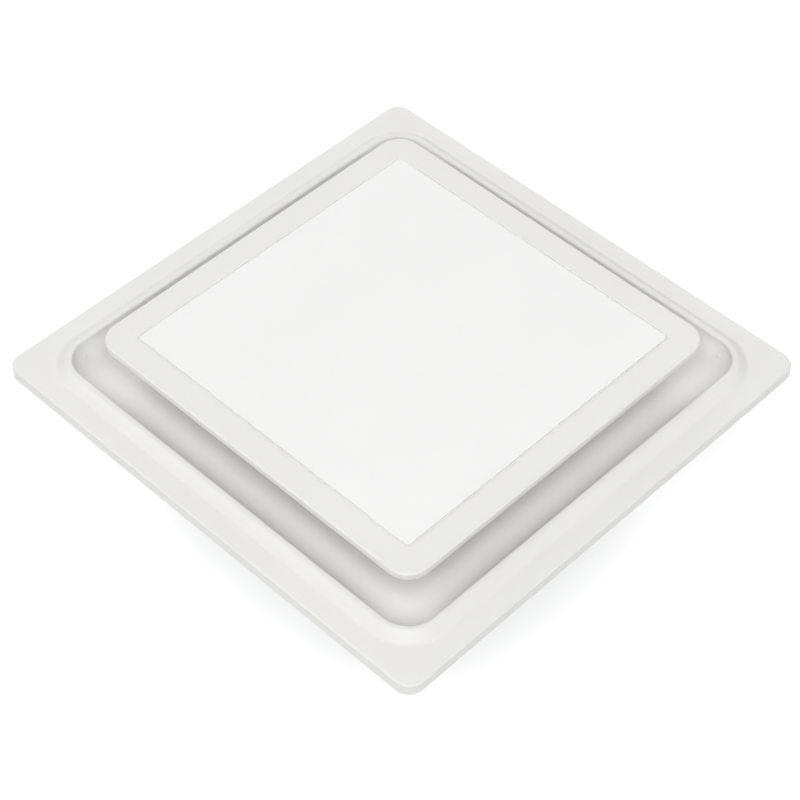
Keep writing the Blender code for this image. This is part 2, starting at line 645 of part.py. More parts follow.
def build_light_panel():
    """Bezel, diffuser, light guide, reflector, backing foam and the pan behind them."""
    opening = WINDOW_HALF + WINDOW_GROOVE
    opening_corner = WINDOW_CORNER + WINDOW_GROOVE
    ledge_top = BEZEL_BOTTOM_Z + BEZEL_LEDGE_THICK
    rows = [
        (BEZEL_HALF - BEZEL_EDGE / 2, BEZEL_CORNER - BEZEL_EDGE / 2, BEZEL_BOTTOM_Z),
        (BEZEL_HALF, BEZEL_CORNER, BEZEL_BOTTOM_Z + BEZEL_EDGE / 2),
    ]
    for degrees in (0, 45, 90):
        angle = math.radians(degrees)
        inset = BEZEL_EDGE * (1 - math.cos(angle))
        rows.append((BEZEL_HALF - inset, BEZEL_CORNER - inset,
                     BEZEL_TOP_Z - BEZEL_EDGE + BEZEL_EDGE * math.sin(angle)))
    rows += [
        (opening, opening_corner, BEZEL_TOP_Z),
        (opening, opening_corner, ledge_top),
        (GUIDE_HALF, WINDOW_CORNER, ledge_top),
        (GUIDE_HALF, WINDOW_CORNER, BEZEL_BOTTOM_Z),
    ]
    bezel = piece("light_bezel", square_section(rows), WHITE_PLASTIC)

    lens_top = BEZEL_TOP_Z + DIFFUSER_PROUD
    diffuser = piece("diffuser", square_section([
        (WINDOW_HALF, WINDOW_CORNER, ledge_top + SEAT_GAP),
        (WINDOW_HALF, WINDOW_CORNER, lens_top - DIFFUSER_EDGE),
        (WINDOW_HALF - DIFFUSER_EDGE, WINDOW_CORNER - DIFFUSER_EDGE, lens_top),
    ], closed=False), OPAL)

    guide_top = PAN_TOP
    guide = piece("light_guide", prism(
        rounded_outline(GUIDE_HALF, GUIDE_HALF, WINDOW_CORNER),
        guide_top - GUIDE_THICK, guide_top), CLEAR_ACRYLIC)
    reflector_top = guide_top - GUIDE_THICK - SEAT_GAP
    reflector = piece("reflector_sheet", prism(
        rounded_outline(GUIDE_HALF, GUIDE_HALF, WINDOW_CORNER),
        reflector_top - REFLECTOR_THICK, reflector_top), REFLECTOR_WHITE)
    foam_top = reflector_top - REFLECTOR_THICK - SEAT_GAP
    foam = piece("backing_foam", prism(
        rounded_outline(FOAM_HALF, FOAM_HALF, WINDOW_CORNER),
        PAN_FLOOR_TOP + SEAT_GAP, foam_top), GREY_FOAM)

    pan = to_object("light_pan", square_section([
        (PAN_HALF, PAN_CORNER, PAN_BOTTOM),
        (PAN_HALF, PAN_CORNER, PAN_TOP),
    ], closed=False))
    cut(pan, square_section([
        (PAN_HALF - PAN_WALL, PAN_CORNER - PAN_WALL, PAN_FLOOR_TOP),
        (PAN_HALF - PAN_WALL, PAN_CORNER - PAN_WALL, PAN_TOP + OVERRUN),
    ], closed=False))
    for x, y in post_places():
        hole = disc(POST_BORE, PAN_BOTTOM - OVERRUN, PAN_FLOOR_TOP + OVERRUN, SMALL_TURN_STEPS)
        cut(pan, move(hole, (x, y, 0)))
    return [bezel, diffuser, guide, reflector, foam, finish(pan, ALUMINIUM)]


def build_led_strips():
    """A narrow board with light-emitting chips along two edges of the guide."""
    strips = []
    for name, side in (("led_strip_right", 1), ("led_strip_left", -1)):
        chip_face = GUIDE_HALF + SEAT_GAP
        board_face = chip_face + LED_THICK
        low = PAN_FLOOR_TOP + SEAT_GAP
        strip = to_object(name, block((board_face, -STRIP_HALF_LENGTH, low),
                                      (board_face + STRIP_THICK, STRIP_HALF_LENGTH, PAN_TOP)))
        spacing = 2 * STRIP_HALF_LENGTH / LED_COUNT
        middle_z = PAN_TOP - GUIDE_THICK / 2
        for number in range(LED_COUNT):
            y = -STRIP_HALF_LENGTH + (number + 1 / 2) * spacing
            fuse(strip, block((chip_face, y - LED_SIZE / 2, middle_z - LED_SIZE / 3),
                              (board_face + FUSE_DEPTH, y + LED_SIZE / 2, middle_z + LED_SIZE / 3)))
        if side < 0:
            strip.data.transform(Matrix.Rotation(math.pi, 4, "Z"))
        strips.append(finish(strip, REFLECTOR_WHITE))
    return strips


def build_pan_screws():
    """Screws from inside the pan down into the posts."""
    screws = []
    head_bottom = PAN_FLOOR_TOP + SEAT_GAP
    head_top = head_bottom + PAN_SCREW_HEAD_HEIGHT
    for number, (x, y) in enumerate(post_places(), 1):
        shape = turned([
            (0, head_bottom - PAN_SCREW_LENGTH),
            (PAN_SCREW_RADIUS, head_bottom - PAN_SCREW_LENGTH),
            (PAN_SCREW_RADIUS, head_bottom),
            (PAN_SCREW_HEAD_RADIUS, head_bottom),
            (PAN_SCREW_HEAD_RADIUS, head_bottom + PAN_SCREW_HEAD_HEIGHT / 2),
            (PAN_SCREW_HEAD_RADIUS / 2, head_top),
            (0, head_top),
        ], ring=False, steps=SMALL_TURN_STEPS)
        screws.append(piece("pan_screw_%d" % number, move(shape, (x, y, 0)), BRIGHT_STEEL))
    return screws


def build_driver():
    """The LED driver: a plastic case open towards the pan, with its board inside."""
    middle = (0, DRIVER_CENTRE_Y, 0)
    floor = DRIVER_TOP - DRIVER_HEIGHT
    case = to_object("driver_case", move(prism(
        rounded_outline(DRIVER_HALF_X, DRIVER_HALF_Y, DRIVER_CORNER), floor, DRIVER_TOP), middle))
    inner_x = DRIVER_HALF_X - DRIVER_WALL
    inner_y = DRIVER_HALF_Y - DRIVER_WALL
    cut(case, move(prism(rounded_outline(inner_x, inner_y, DRIVER_CORNER - DRIVER_WALL),
                         floor + DRIVER_WALL, DRIVER_TOP + OVERRUN), middle))
    gland = disc(LIGHT_LEAD_RADIUS + SEAT_GAP, -OVERRUN, DRIVER_WALL + OVERRUN, SMALL_TURN_STEPS)
    cut(case, move(point_z_along(gland, "X"), (-DRIVER_HALF_X, DRIVER_CENTRE_Y, floor + DRIVER_HEIGHT / 2)))
    finish(case, GREY_PLASTIC)

    foot = floor + DRIVER_WALL + SEAT_GAP
    deck = foot + BOARD_FOOT
    half_x = inner_x - BOARD_MARGIN
    half_y = inner_y - BOARD_MARGIN
    board = to_object("driver_board", move(block((-half_x, -half_y, deck),
                                                 (half_x, half_y, deck + BOARD_THICK)), middle))
    for side in (1, -1):
        leg = block((side * half_x / 2 - BOARD_FOOT, -BOARD_FOOT, foot),
                    (side * half_x / 2 + BOARD_FOOT, BOARD_FOOT, deck + FUSE_DEPTH))
        fuse(board, move(leg, middle))
    base = deck + BOARD_THICK - FUSE_DEPTH
    can = disc(COIL_CAN_RADIUS, base, base + COIL_CAN_HEIGHT, SMALL_TURN_STEPS)
    fuse(board, move(can, (half_x / 2, DRIVER_CENTRE_Y, 0)))
    choke = block((-CHOKE_HALF_X, -CHOKE_HALF_Y, base), (CHOKE_HALF_X, CHOKE_HALF_Y, base + CHOKE_HEIGHT))
    fuse(board, move(choke, (-half_x / 3, DRIVER_CENTRE_Y, 0)))
    finish(board, BOARD_GREEN)

    lead_z = floor + DRIVER_HEIGHT / 2
    start_x = -DRIVER_HALF_X + DRIVER_WALL
    loop_x = -DRIVER_HALF_X - LIGHT_LEAD_REACH
    lead = wire("light_lead", smooth_route([
        (start_x, DRIVER_CENTRE_Y, lead_z),
        (loop_x, DRIVER_CENTRE_Y, lead_z),
        (loop_x, PLUG_PARK_Y, lead_z),
        (PLUG_PARK_X - SEAT_GAP, PLUG_PARK_Y, lead_z),
    ], LIGHT_LEAD_REACH / 2), LIGHT_LEAD_RADIUS, LEAD_GREY)

    plug = piece("light_plug", move(point_z_along(prism(
        rounded_outline(PLUG_HALF_HEIGHT, PLUG_HALF_WIDTH, PLUG_CORNER), 0, PLUG_LENGTH), "X"),
        (PLUG_PARK_X, PLUG_PARK_Y, lead_z)), GREY_PLASTIC)

    clip_x = PLUG_PARK_X + (PLUG_LENGTH - PLUG_CLIP_LENGTH) / 2
    inner_half = PLUG_HALF_WIDTH + SEAT_GAP
    outer_half = inner_half + PLUG_CLIP_WALL
    plug_low = lead_z - PLUG_HALF_HEIGHT - SEAT_GAP
    clip = to_object("plug_clip", block(
        (clip_x, PLUG_PARK_Y - outer_half, plug_low - PLUG_CLIP_WALL),
        (clip_x + PLUG_CLIP_LENGTH, PLUG_PARK_Y + outer_half, DRIVER_TOP)))
    cut(clip, block((clip_x - OVERRUN, PLUG_PARK_Y - inner_half, plug_low),
                    (clip_x + PLUG_CLIP_LENGTH + OVERRUN, PLUG_PARK_Y + inner_half,
                     DRIVER_TOP - PLUG_CLIP_WALL)))
    finish(clip, WHITE_PLASTIC)
    return [case, board, lead, plug, clip]


def leg_angle(drop):
    """The leg's angle from straight down when its slot lies a height below the coil."""
    reach = math.hypot(SPRING_SLOT_X, drop)
    return math.acos(SPRING_COIL_RADIUS / reach) - math.atan2(drop, SPRING_SLOT_X)


def leg_points(angle):
    """The wire of one leg in the (x, z) plane: an open eye, a straight run and a hook."""
    outward = Vector((math.cos(angle), math.sin(angle)))
    down = Vector((math.sin(angle), -math.cos(angle)))
    points = []
    for step in range(SPRING_EYE_STEPS + 1):
        turn = angle + SPRING_EYE_TURN_SHARE * math.tau * (1 - step / SPRING_EYE_STEPS)
        points.append(SPRING_COIL_RADIUS * Vector((math.cos(turn), math.sin(turn))))
    end = SPRING_COIL_RADIUS * outward + SPRING_LEG_LENGTH * down
    points.append(end - SPRING_HOOK / 2 * down)
    points.append(end - SPRING_HOOK / 8 * down + SPRING_HOOK / 8 * outward)
    points.append(end + SPRING_HOOK * outward)
    return points


def leg_planes(side):
    """The y of the outer and inner wire legs of the spring on one side."""
    return side * (SPRING_MIDDLE + SPRING_HALF_PACK), side * (SPRING_MIDDLE - SPRING_HALF_PACK)


def build_springs():
    """Two torsion springs, each a coil, two wire legs and a clip, and the slotted receivers."""
    grille_parts = []
    for word, side in (("front", -1), ("rear", 1)):
        outer_y, inner_y = leg_planes(side)
        half_coil = SPRING_COIL_TURNS / 2 * SPRING_PITCH
        count = round(SPRING_COIL_TURNS * 10)
        helix = []
        for step in range(count + 1):
            turn = math.tau * SPRING_COIL_TURNS * step / count
            helix.append((SPRING_COIL_RADIUS * math.cos(turn),
                          side * SPRING_MIDDLE - half_coil + 2 * half_coil * step / count,
                          SPRING_AXIS_Z + SPRING_COIL_RADIUS * math.sin(turn)))
        grille_parts.append(wire("spring_coil_" + word, helix, SPRING_WIRE, SPRING_STEEL))

        head_y = abs(inner_y) - SPRING_WIRE - SEAT_GAP
        clip = to_object("spring_clip_" + word, block(
            (-CLIP_HALF_WIDTH, CLIP_FACE - CLIP_SHEET, SPRING_AXIS_Z - CLIP_HALF_HEIGHT),
            (CLIP_HALF_WIDTH, CLIP_FACE, SPRING_AXIS_Z + CLIP_HALF_HEIGHT)))
        pin = turned([
            (0, head_y - CLIP_HEAD_THICK),
            (CLIP_HEAD_RADIUS, head_y - CLIP_HEAD_THICK),
            (CLIP_HEAD_RADIUS, head_y),
            (CLIP_PIN_RADIUS, head_y),
            (CLIP_PIN_RADIUS, CLIP_FACE - FUSE_DEPTH),
            (0, CLIP_FACE - FUSE_DEPTH),
        ], ring=False, steps=SMALL_TURN_STEPS)
        fuse(clip, move(point_z_along(pin, "Y"), (0, 0, SPRING_AXIS_Z)))
        if side < 0:
            clip.data.transform(Matrix.Rotation(math.pi, 4, "Z"))
        grille_parts.append(finish(clip, GALVANISED))

        angle = leg_angle(SPRING_SLOT_DROP)
        for hand, hand_sign, plane in (("right", 1, outer_y), ("left", -1, inner_y)):
            path = [(hand_sign * x, 0, z) for x, z in leg_points(angle)]
            leg = wire("spring_leg_%s_%s" % (word, hand), path, SPRING_WIRE, SPRING_STEEL)
            leg.location = (0, plane, SPRING_AXIS_Z)

        wall_y = HOUSING_INNER - SEAT_GAP
        shelf_y = abs(inner_y) - SLOT_CLEARANCE - SPRING_WIRE - RECEIVER_LIP
        receiver = to_object("spring_receiver_" + word, block(
            (-RECEIVER_HALF_WIDTH, wall_y - RECEIVER_SHEET, SHELF_Z - RECEIVER_HEIGHT),
            (RECEIVER_HALF_WIDTH, wall_y, SHELF_Z + RECEIVER_SHEET / 2)))
        fuse(receiver, block(
            (-RECEIVER_HALF_WIDTH, shelf_y, SHELF_Z - RECEIVER_SHEET / 2),
            (RECEIVER_HALF_WIDTH, wall_y, SHELF_Z + RECEIVER_SHEET / 2)))
        near = SPRING_SLOT_X - SPRING_WIRE - SLOT_CLEARANCE
        far = SPRING_SLOT_X + SPRING_WIRE + SLOT_CLEARANCE + SLOT_SWAY
        half_slot = SPRING_WIRE + SLOT_CLEARANCE
        for hand_sign, plane in ((side, abs(outer_y)), (-side, abs(inner_y))):
            low_x, high_x = sorted((hand_sign * near, hand_sign * far))
            cut(receiver, block((low_x, plane - half_slot, SHELF_Z - OVERRUN),
                                (high_x, plane + half_slot, SHELF_Z + OVERRUN)))
        if side < 0:
            receiver.data.transform(Matrix.Rotation(math.pi, 4, "Z"))
        finish(receiver, GALVANISED)
    return grille_parts


def spiral_outline(extra):
    """The scroll's growing radius, as plan points, moved out by a wall."""
    points = []
    for step in range(SCROLL_STEPS + 1):
        share = step / SCROLL_STEPS
        angle = SCROLL_START + (SCROLL_END - SCROLL_START) * share
        points.append(polar(SCROLL_START_RADIUS + SCROLL_GROWTH * share + extra, angle))
    return points


def outlet_outline(extra, end_x):
    """The straight outlet from the scroll's tongue to the duct side."""
    tongue_x, tongue_y = polar(SCROLL_START_RADIUS, TONGUE_ANGLE)
    return [
        (BLOWER_X, OUTLET_TOP_Y + extra),
        (end_x, OUTLET_TOP_Y + extra),
        (end_x, OUTLET_LOW_Y - extra),
        (tongue_x, tongue_y - extra),
        (BLOWER_X, tongue_y - extra),
    ]


def scroll_solid(name, extra, low, high, end_x):
    """The scroll and its outlet as one solid."""
    solid = to_object(name, prism(spiral_outline(extra), low, high))
    fuse(solid, prism(outlet_outline(extra, end_x), low, high))
    return solid


def build_casing():
    """The moulded scroll casing with its floor and three screw lugs."""
    casing = scroll_solid("scroll_casing", CASING_WALL, CASING_LIFT, CASING_TOP, OUTLET_END_X)
    for x, y in LUG_PLACES:
        lug = disc(LUG_RADIUS, CASING_BASE, CASING_BASE + LUG_HEIGHT, SMALL_TURN_STEPS)
        fuse(casing, move(lug, (x, y, 0)))
        inward = Vector((BLOWER_X - x, BLOWER_Y - y, 0))
        rib = block((0, -LUG_RIB / 2, CASING_LIFT),
                    (SCROLL_START_RADIUS / 2, LUG_RIB / 2, CASING_BASE + LUG_HEIGHT - LUG_RIB))
        turn = Matrix.Rotation(math.atan2(inward.y, inward.x), 3, "Z")
        bmesh.ops.rotate(rib, cent=(0, 0, 0), matrix=turn, verts=rib.verts)
        fuse(casing, move(rib, (x, y, 0)))
    for outline in (spiral_outline(0), outlet_outline(0, OUTLET_END_X - OVERRUN)):
        cut(casing, prism(outline, CASING_FLOOR_TOP, CASING_TOP + OVERRUN))
    hub_hole = disc(CASING_HUB_HOLE, CASING_LIFT - OVERRUN, CASING_FLOOR_TOP + OVERRUN)
    cut(casing, move(hub_hole, BLOWER_AXIS))
    for x, y in LUG_PLACES:
        bore = disc(LUG_BORE, CASING_BASE - OVERRUN, CASING_BASE + LUG_HEIGHT + OVERRUN, SMALL_TURN_STEPS)
        cut(casing, move(bore, (x, y, 0)))
    finish(casing, BLACK_PLASTIC)


def build_inlet_plate():
    """The casing's lid with its rolled bell mouth."""
    low = CASING_TOP + SEAT_GAP
    high = low + INLET_PLATE
    plate = scroll_solid("scroll_inlet_plate", CASING_WALL, low, high, OUTLET_END_X)
    outer = INLET_RADIUS + INLET_LIP_ROLL
    cut(plate, move(disc(outer - INLET_PLATE, low - OVERRUN, high + OVERRUN), BLOWER_AXIS))
    lip_top = high + INLET_LIP_RISE
    rows = [(outer, (low + high) / 2)]
    for degrees in (24, 46, 68, 90):
        angle = math.radians(degrees)
        rows.append((outer - INLET_LIP_ROLL * math.sin(angle), lip_top - (lip_top - low) * math.cos(angle)))
    for degrees in (90, 62, 35):
        angle = math.radians(degrees)
        rows.append((outer - (INLET_LIP_ROLL - INLET_PLATE) * math.sin(angle),
                     lip_top - INLET_LIP_RISE * math.cos(angle)))
    fuse(plate, move(turned(rows), BLOWER_AXIS))
    finish(plate, BLACK_PLASTIC)


def build_casing_screws():
    """Screws down through the casing's lugs."""
    head_bottom = CASING_BASE + LUG_HEIGHT + SEAT_GAP
    head_top = head_bottom + CASING_SCREW_HEAD_HEIGHT
    for number, (x, y) in enumerate(LUG_PLACES, 1):
        shape = turned([
            (0, CASING_BASE + SEAT_GAP),
            (CASING_SCREW_RADIUS, CASING_BASE + SEAT_GAP),
            (CASING_SCREW_RADIUS, head_bottom),
            (CASING_SCREW_HEAD_RADIUS, head_bottom),
            (CASING_SCREW_HEAD_RADIUS, head_bottom + CASING_SCREW_HEAD_HEIGHT / 2),
            (CASING_SCREW_HEAD_RADIUS / 2, head_top),
            (0, head_top),
        ], ring=False, steps=SMALL_TURN_STEPS)
        piece("casing_screw_%d" % number, move(shape, (x, y, 0)), BRIGHT_STEEL)


def blade_outline(start_angle):
    """One forward-curved blade in plan."""
    camber = []
    for step in range(BLADE_STEPS + 1):
        share = step / BLADE_STEPS
        radius = WHEEL_EYE_RADIUS + (WHEEL_RADIUS - WHEEL_EYE_RADIUS) * share
        angle = start_angle + BLADE_LEAN * share * share
        camber.append(Vector((radius * math.cos(angle), radius * math.sin(angle))))
    left = []
    right = []
    for number, point in enumerate(camber):
        before = camber[max(number - 1, 0)]
        after = camber[min(number + 1, BLADE_STEPS)]
        along = (after - before).normalized()
        across = Vector((-along.y, along.x)) * BLADE_THICK / 2
        left.append(point + across)
        right.append(point - across)
    return right + left[::-1]


def build_wheel():
    """The squirrel-cage wheel: a hat-shaped back over the motor, blades and a top ring."""
    hat = HUB_FLOOR + WHEEL_WALL
    hat_inner = CAN_RADIUS + CAN_CLEARANCE
    hat_outer = hat_inner + WHEEL_WALL
    bore = SHAFT_RADIUS + SEAT_GAP
    wheel = to_object("blower_wheel", turned([
        (WHEEL_RADIUS, WHEEL_BOTTOM),
        (WHEEL_RADIUS, WHEEL_BOTTOM + WHEEL_WALL),
        (hat_outer, WHEEL_BOTTOM + WHEEL_WALL),
        (hat_outer, hat),
        (HUB_RADIUS, hat),
        (HUB_RADIUS, hat + HUB_HEIGHT),
        (bore, hat + HUB_HEIGHT),
        (bore, HUB_FLOOR),
        (hat_inner, HUB_FLOOR),
        (hat_inner, WHEEL_BOTTOM),
    ]))
    blades = bmesh.new()
    for number in range(WHEEL_BLADES):
        outline = blade_outline(math.tau * number / WHEEL_BLADES)
        one = prism(outline, WHEEL_BOTTOM + WHEEL_WALL / 2, WHEEL_TOP - WHEEL_RING_HEIGHT / 2)
        mesh = bpy.data.meshes.new("blade")
        one.to_mesh(mesh)
        one.free()
        blades.from_mesh(mesh)
        bpy.data.meshes.remove(mesh)
    fuse(wheel, blades)
    ring_outer = WHEEL_RADIUS + BLADE_THICK
    fuse(wheel, washer(ring_outer - WHEEL_RING_WIDTH, ring_outer,
                       WHEEL_TOP - WHEEL_RING_HEIGHT, WHEEL_TOP))
    wheel.location = BLOWER_AXIS
    finish(wheel, GREY_PLASTIC)
    clip = piece("wheel_clip", washer(bore, CLIP_RING_RADIUS, hat + HUB_HEIGHT + SEAT_GAP,
                                      hat + HUB_HEIGHT + SEAT_GAP + CLIP_RING_THICK,
                                      SMALL_TURN_STEPS), BRIGHT_STEEL)
    clip.location = BLOWER_AXIS
    return [wheel, clip]


def build_motor():
    """The motor in its can; its turning pieces are given back."""
    plate_top = END_PLATE_BOTTOM + END_PLATE_THICK
    shaft_bore = SHAFT_RADIUS + SEAT_GAP
    fixed = []
    end_plate = to_object("motor_end_plate", washer(
        BEARING_LOWER_RADIUS + SEAT_GAP, END_PLATE_RADIUS, END_PLATE_BOTTOM, plate_top))
    lead_hole = disc(MOTOR_LEAD_RADIUS + SEAT_GAP, END_PLATE_BOTTOM - OVERRUN, plate_top + OVERRUN,
                     SMALL_TURN_STEPS)
    cut(end_plate, move(lead_hole, (MOTOR_LEAD_START_X, 0, 0)))
    fixed.append(finish(end_plate, GALVANISED))

    top_bore = BEARING_UPPER_RADIUS + SEAT_GAP
    can = turned([
        (CAN_RADIUS, CAN_BOTTOM),
        (CAN_RADIUS, CAN_TOP - CAN_WALL),
        (CAN_RADIUS - CAN_WALL, CAN_TOP),
        (top_bore, CAN_TOP),
        (top_bore, CAN_TOP - CAN_WALL),
        (CAN_RADIUS - CAN_WALL, CAN_TOP - CAN_WALL),
        (CAN_RADIUS - CAN_WALL, CAN_BOTTOM),
    ])
    fixed.append(piece("motor_can", can, GALVANISED))

    core_outer = CAN_RADIUS - CAN_WALL - SEAT_GAP
    core_inner = ROTOR_RADIUS + ROTOR_AIR_GAP
    core_low = (CAN_BOTTOM + CAN_TOP - STATOR_LENGTH) / 2
    core_high = core_low + STATOR_LENGTH
    core = to_object("stator_core", washer(core_inner, core_outer, core_low, core_high))
    for number in range(STATOR_SLOTS):
        slot = block((0, -STATOR_SLOT_WIDTH / 2, core_low - OVERRUN),
                     (core_inner + STATOR_SLOT_DEPTH, STATOR_SLOT_WIDTH / 2, core_high + OVERRUN))
        turn = Matrix.Rotation(math.tau * (number + 1 / 2) / STATOR_SLOTS, 3, "Z")
        bmesh.ops.rotate(slot, cent=(0, 0, 0), matrix=turn, verts=slot.verts)
        cut(core, slot)
    fixed.append(finish(core, CORE_STEEL))

    inset = (core_outer - core_inner) * WINDING_INSET_SHARE
    wind_inner = core_inner + inset
    wind_outer = core_outer - inset
    for name, low in (("stator_winding_upper", core_high + SEAT_GAP),
                      ("stator_winding_lower", core_low - SEAT_GAP - WINDING_HEIGHT)):
        bulge = WINDING_HEIGHT / 4
        high = low + WINDING_HEIGHT
        ring = turned([
            (wind_inner, low + bulge), (wind_inner + bulge, low), (wind_outer - bulge, low),
            (wind_outer, low + bulge), (wind_outer, high - bulge), (wind_outer - bulge, high),
            (wind_inner + bulge, high), (wind_inner, high - bulge),
        ])
        fixed.append(piece(name, ring, COPPER))
    fixed.append(piece("motor_bearing_lower", washer(
        shaft_bore, BEARING_LOWER_RADIUS, END_PLATE_BOTTOM,
        END_PLATE_BOTTOM + BEARING_LOWER_HEIGHT, SMALL_TURN_STEPS), BRIGHT_STEEL))
    fixed.append(piece("motor_bearing_upper", washer(
        shaft_bore, BEARING_UPPER_RADIUS, CAN_TOP - BEARING_UPPER_HEIGHT, CAN_TOP,
        SMALL_TURN_STEPS), BRIGHT_STEEL))

    hat = HUB_FLOOR + WHEEL_WALL
    shaft_top = hat + HUB_HEIGHT + SEAT_GAP + 2 * CLIP_RING_THICK
    middle = (core_low + core_high) / 2
    turning = [
        piece("motor_shaft", disc(SHAFT_RADIUS, END_PLATE_BOTTOM - SHAFT_TAIL, shaft_top,
                                  SMALL_TURN_STEPS), BRIGHT_STEEL),
        piece("rotor", washer(shaft_bore, ROTOR_RADIUS, middle - ROTOR_LENGTH / 2,
                              middle + ROTOR_LENGTH / 2), CORE_STEEL),
    ]
    for obj in fixed + turning:
        obj.location = BLOWER_AXIS
    return turning


def build_duct():
    """The duct collar with its square plate, the damper flap and the pin that it turns on."""
    half_width = DUCT_RADIUS + DUCT_PLATE_BAND
    half_height = HOUSING_DEPTH / 2 - DUCT_PLATE_EDGE
    plate = prism(rounded_outline(half_height, half_width, DUCT_PLATE_CORNER), -DUCT_PLATE_THICK, 0)
    collar = to_object("duct_collar", point_z_along(plate, "X"))
    fuse(collar, point_z_along(disc(DUCT_RADIUS, -DUCT_PLATE_THICK - DUCT_LENGTH, -FUSE_DEPTH), "X"))
    cut(collar, point_z_along(disc(DUCT_RADIUS - DUCT_WALL,
                                   -DUCT_PLATE_THICK - DUCT_LENGTH - OVERRUN, OVERRUN), "X"))
    collar.data.transform(Matrix.Translation((DUCT_PLATE_X, DUCT_Y, DUCT_Z)))
    place = Vector((DAMPER_X, DUCT_Y, DAMPER_Z))
    pin_hole = disc(DAMPER_PIN + SEAT_GAP, -DUCT_RADIUS - OVERRUN, DUCT_RADIUS + OVERRUN,
                    SMALL_TURN_STEPS)
    cut(collar, move(point_z_along(pin_hole, "Y"), place))
    finish(collar, BLACK_PLASTIC)

    pin_half = math.sqrt(DUCT_RADIUS ** 2 - DAMPER_OFFSET ** 2) - SEAT_GAP
    pin = disc(DAMPER_PIN, -pin_half, pin_half, SMALL_TURN_STEPS)
    piece("damper_pin", move(point_z_along(pin, "Y"), place), BRIGHT_STEEL)

    radius = DUCT_RADIUS - DUCT_WALL - DAMPER_CLEARANCE
    flap_disc = point_z_along(disc(radius, -DAMPER_THICK / 2, DAMPER_THICK / 2), "X")
    flap = to_object("damper_flap", move(flap_disc, (0, 0, DAMPER_OFFSET)))
    fuse(flap, point_z_along(disc(DAMPER_BARREL, -DAMPER_BARREL_HALF, DAMPER_BARREL_HALF,
                                  SMALL_TURN_STEPS), "Y"))
    cut(flap, point_z_along(disc(DAMPER_PIN + SEAT_GAP, -DUCT_RADIUS, DUCT_RADIUS,
                                 SMALL_TURN_STEPS), "Y"))
    flap.location = place
    finish(flap, GREY_PLASTIC)


def socket_block(y, margin, low, high):
    """A box round one socket's place, grown by a margin on each side."""
    half_x = SOCKET_HALF_X + margin
    half_y = SOCKET_HALF_Y + margin
    return block((SOCKET_X - half_x, y - half_y, low), (SOCKET_X + half_x, y + half_y, high))


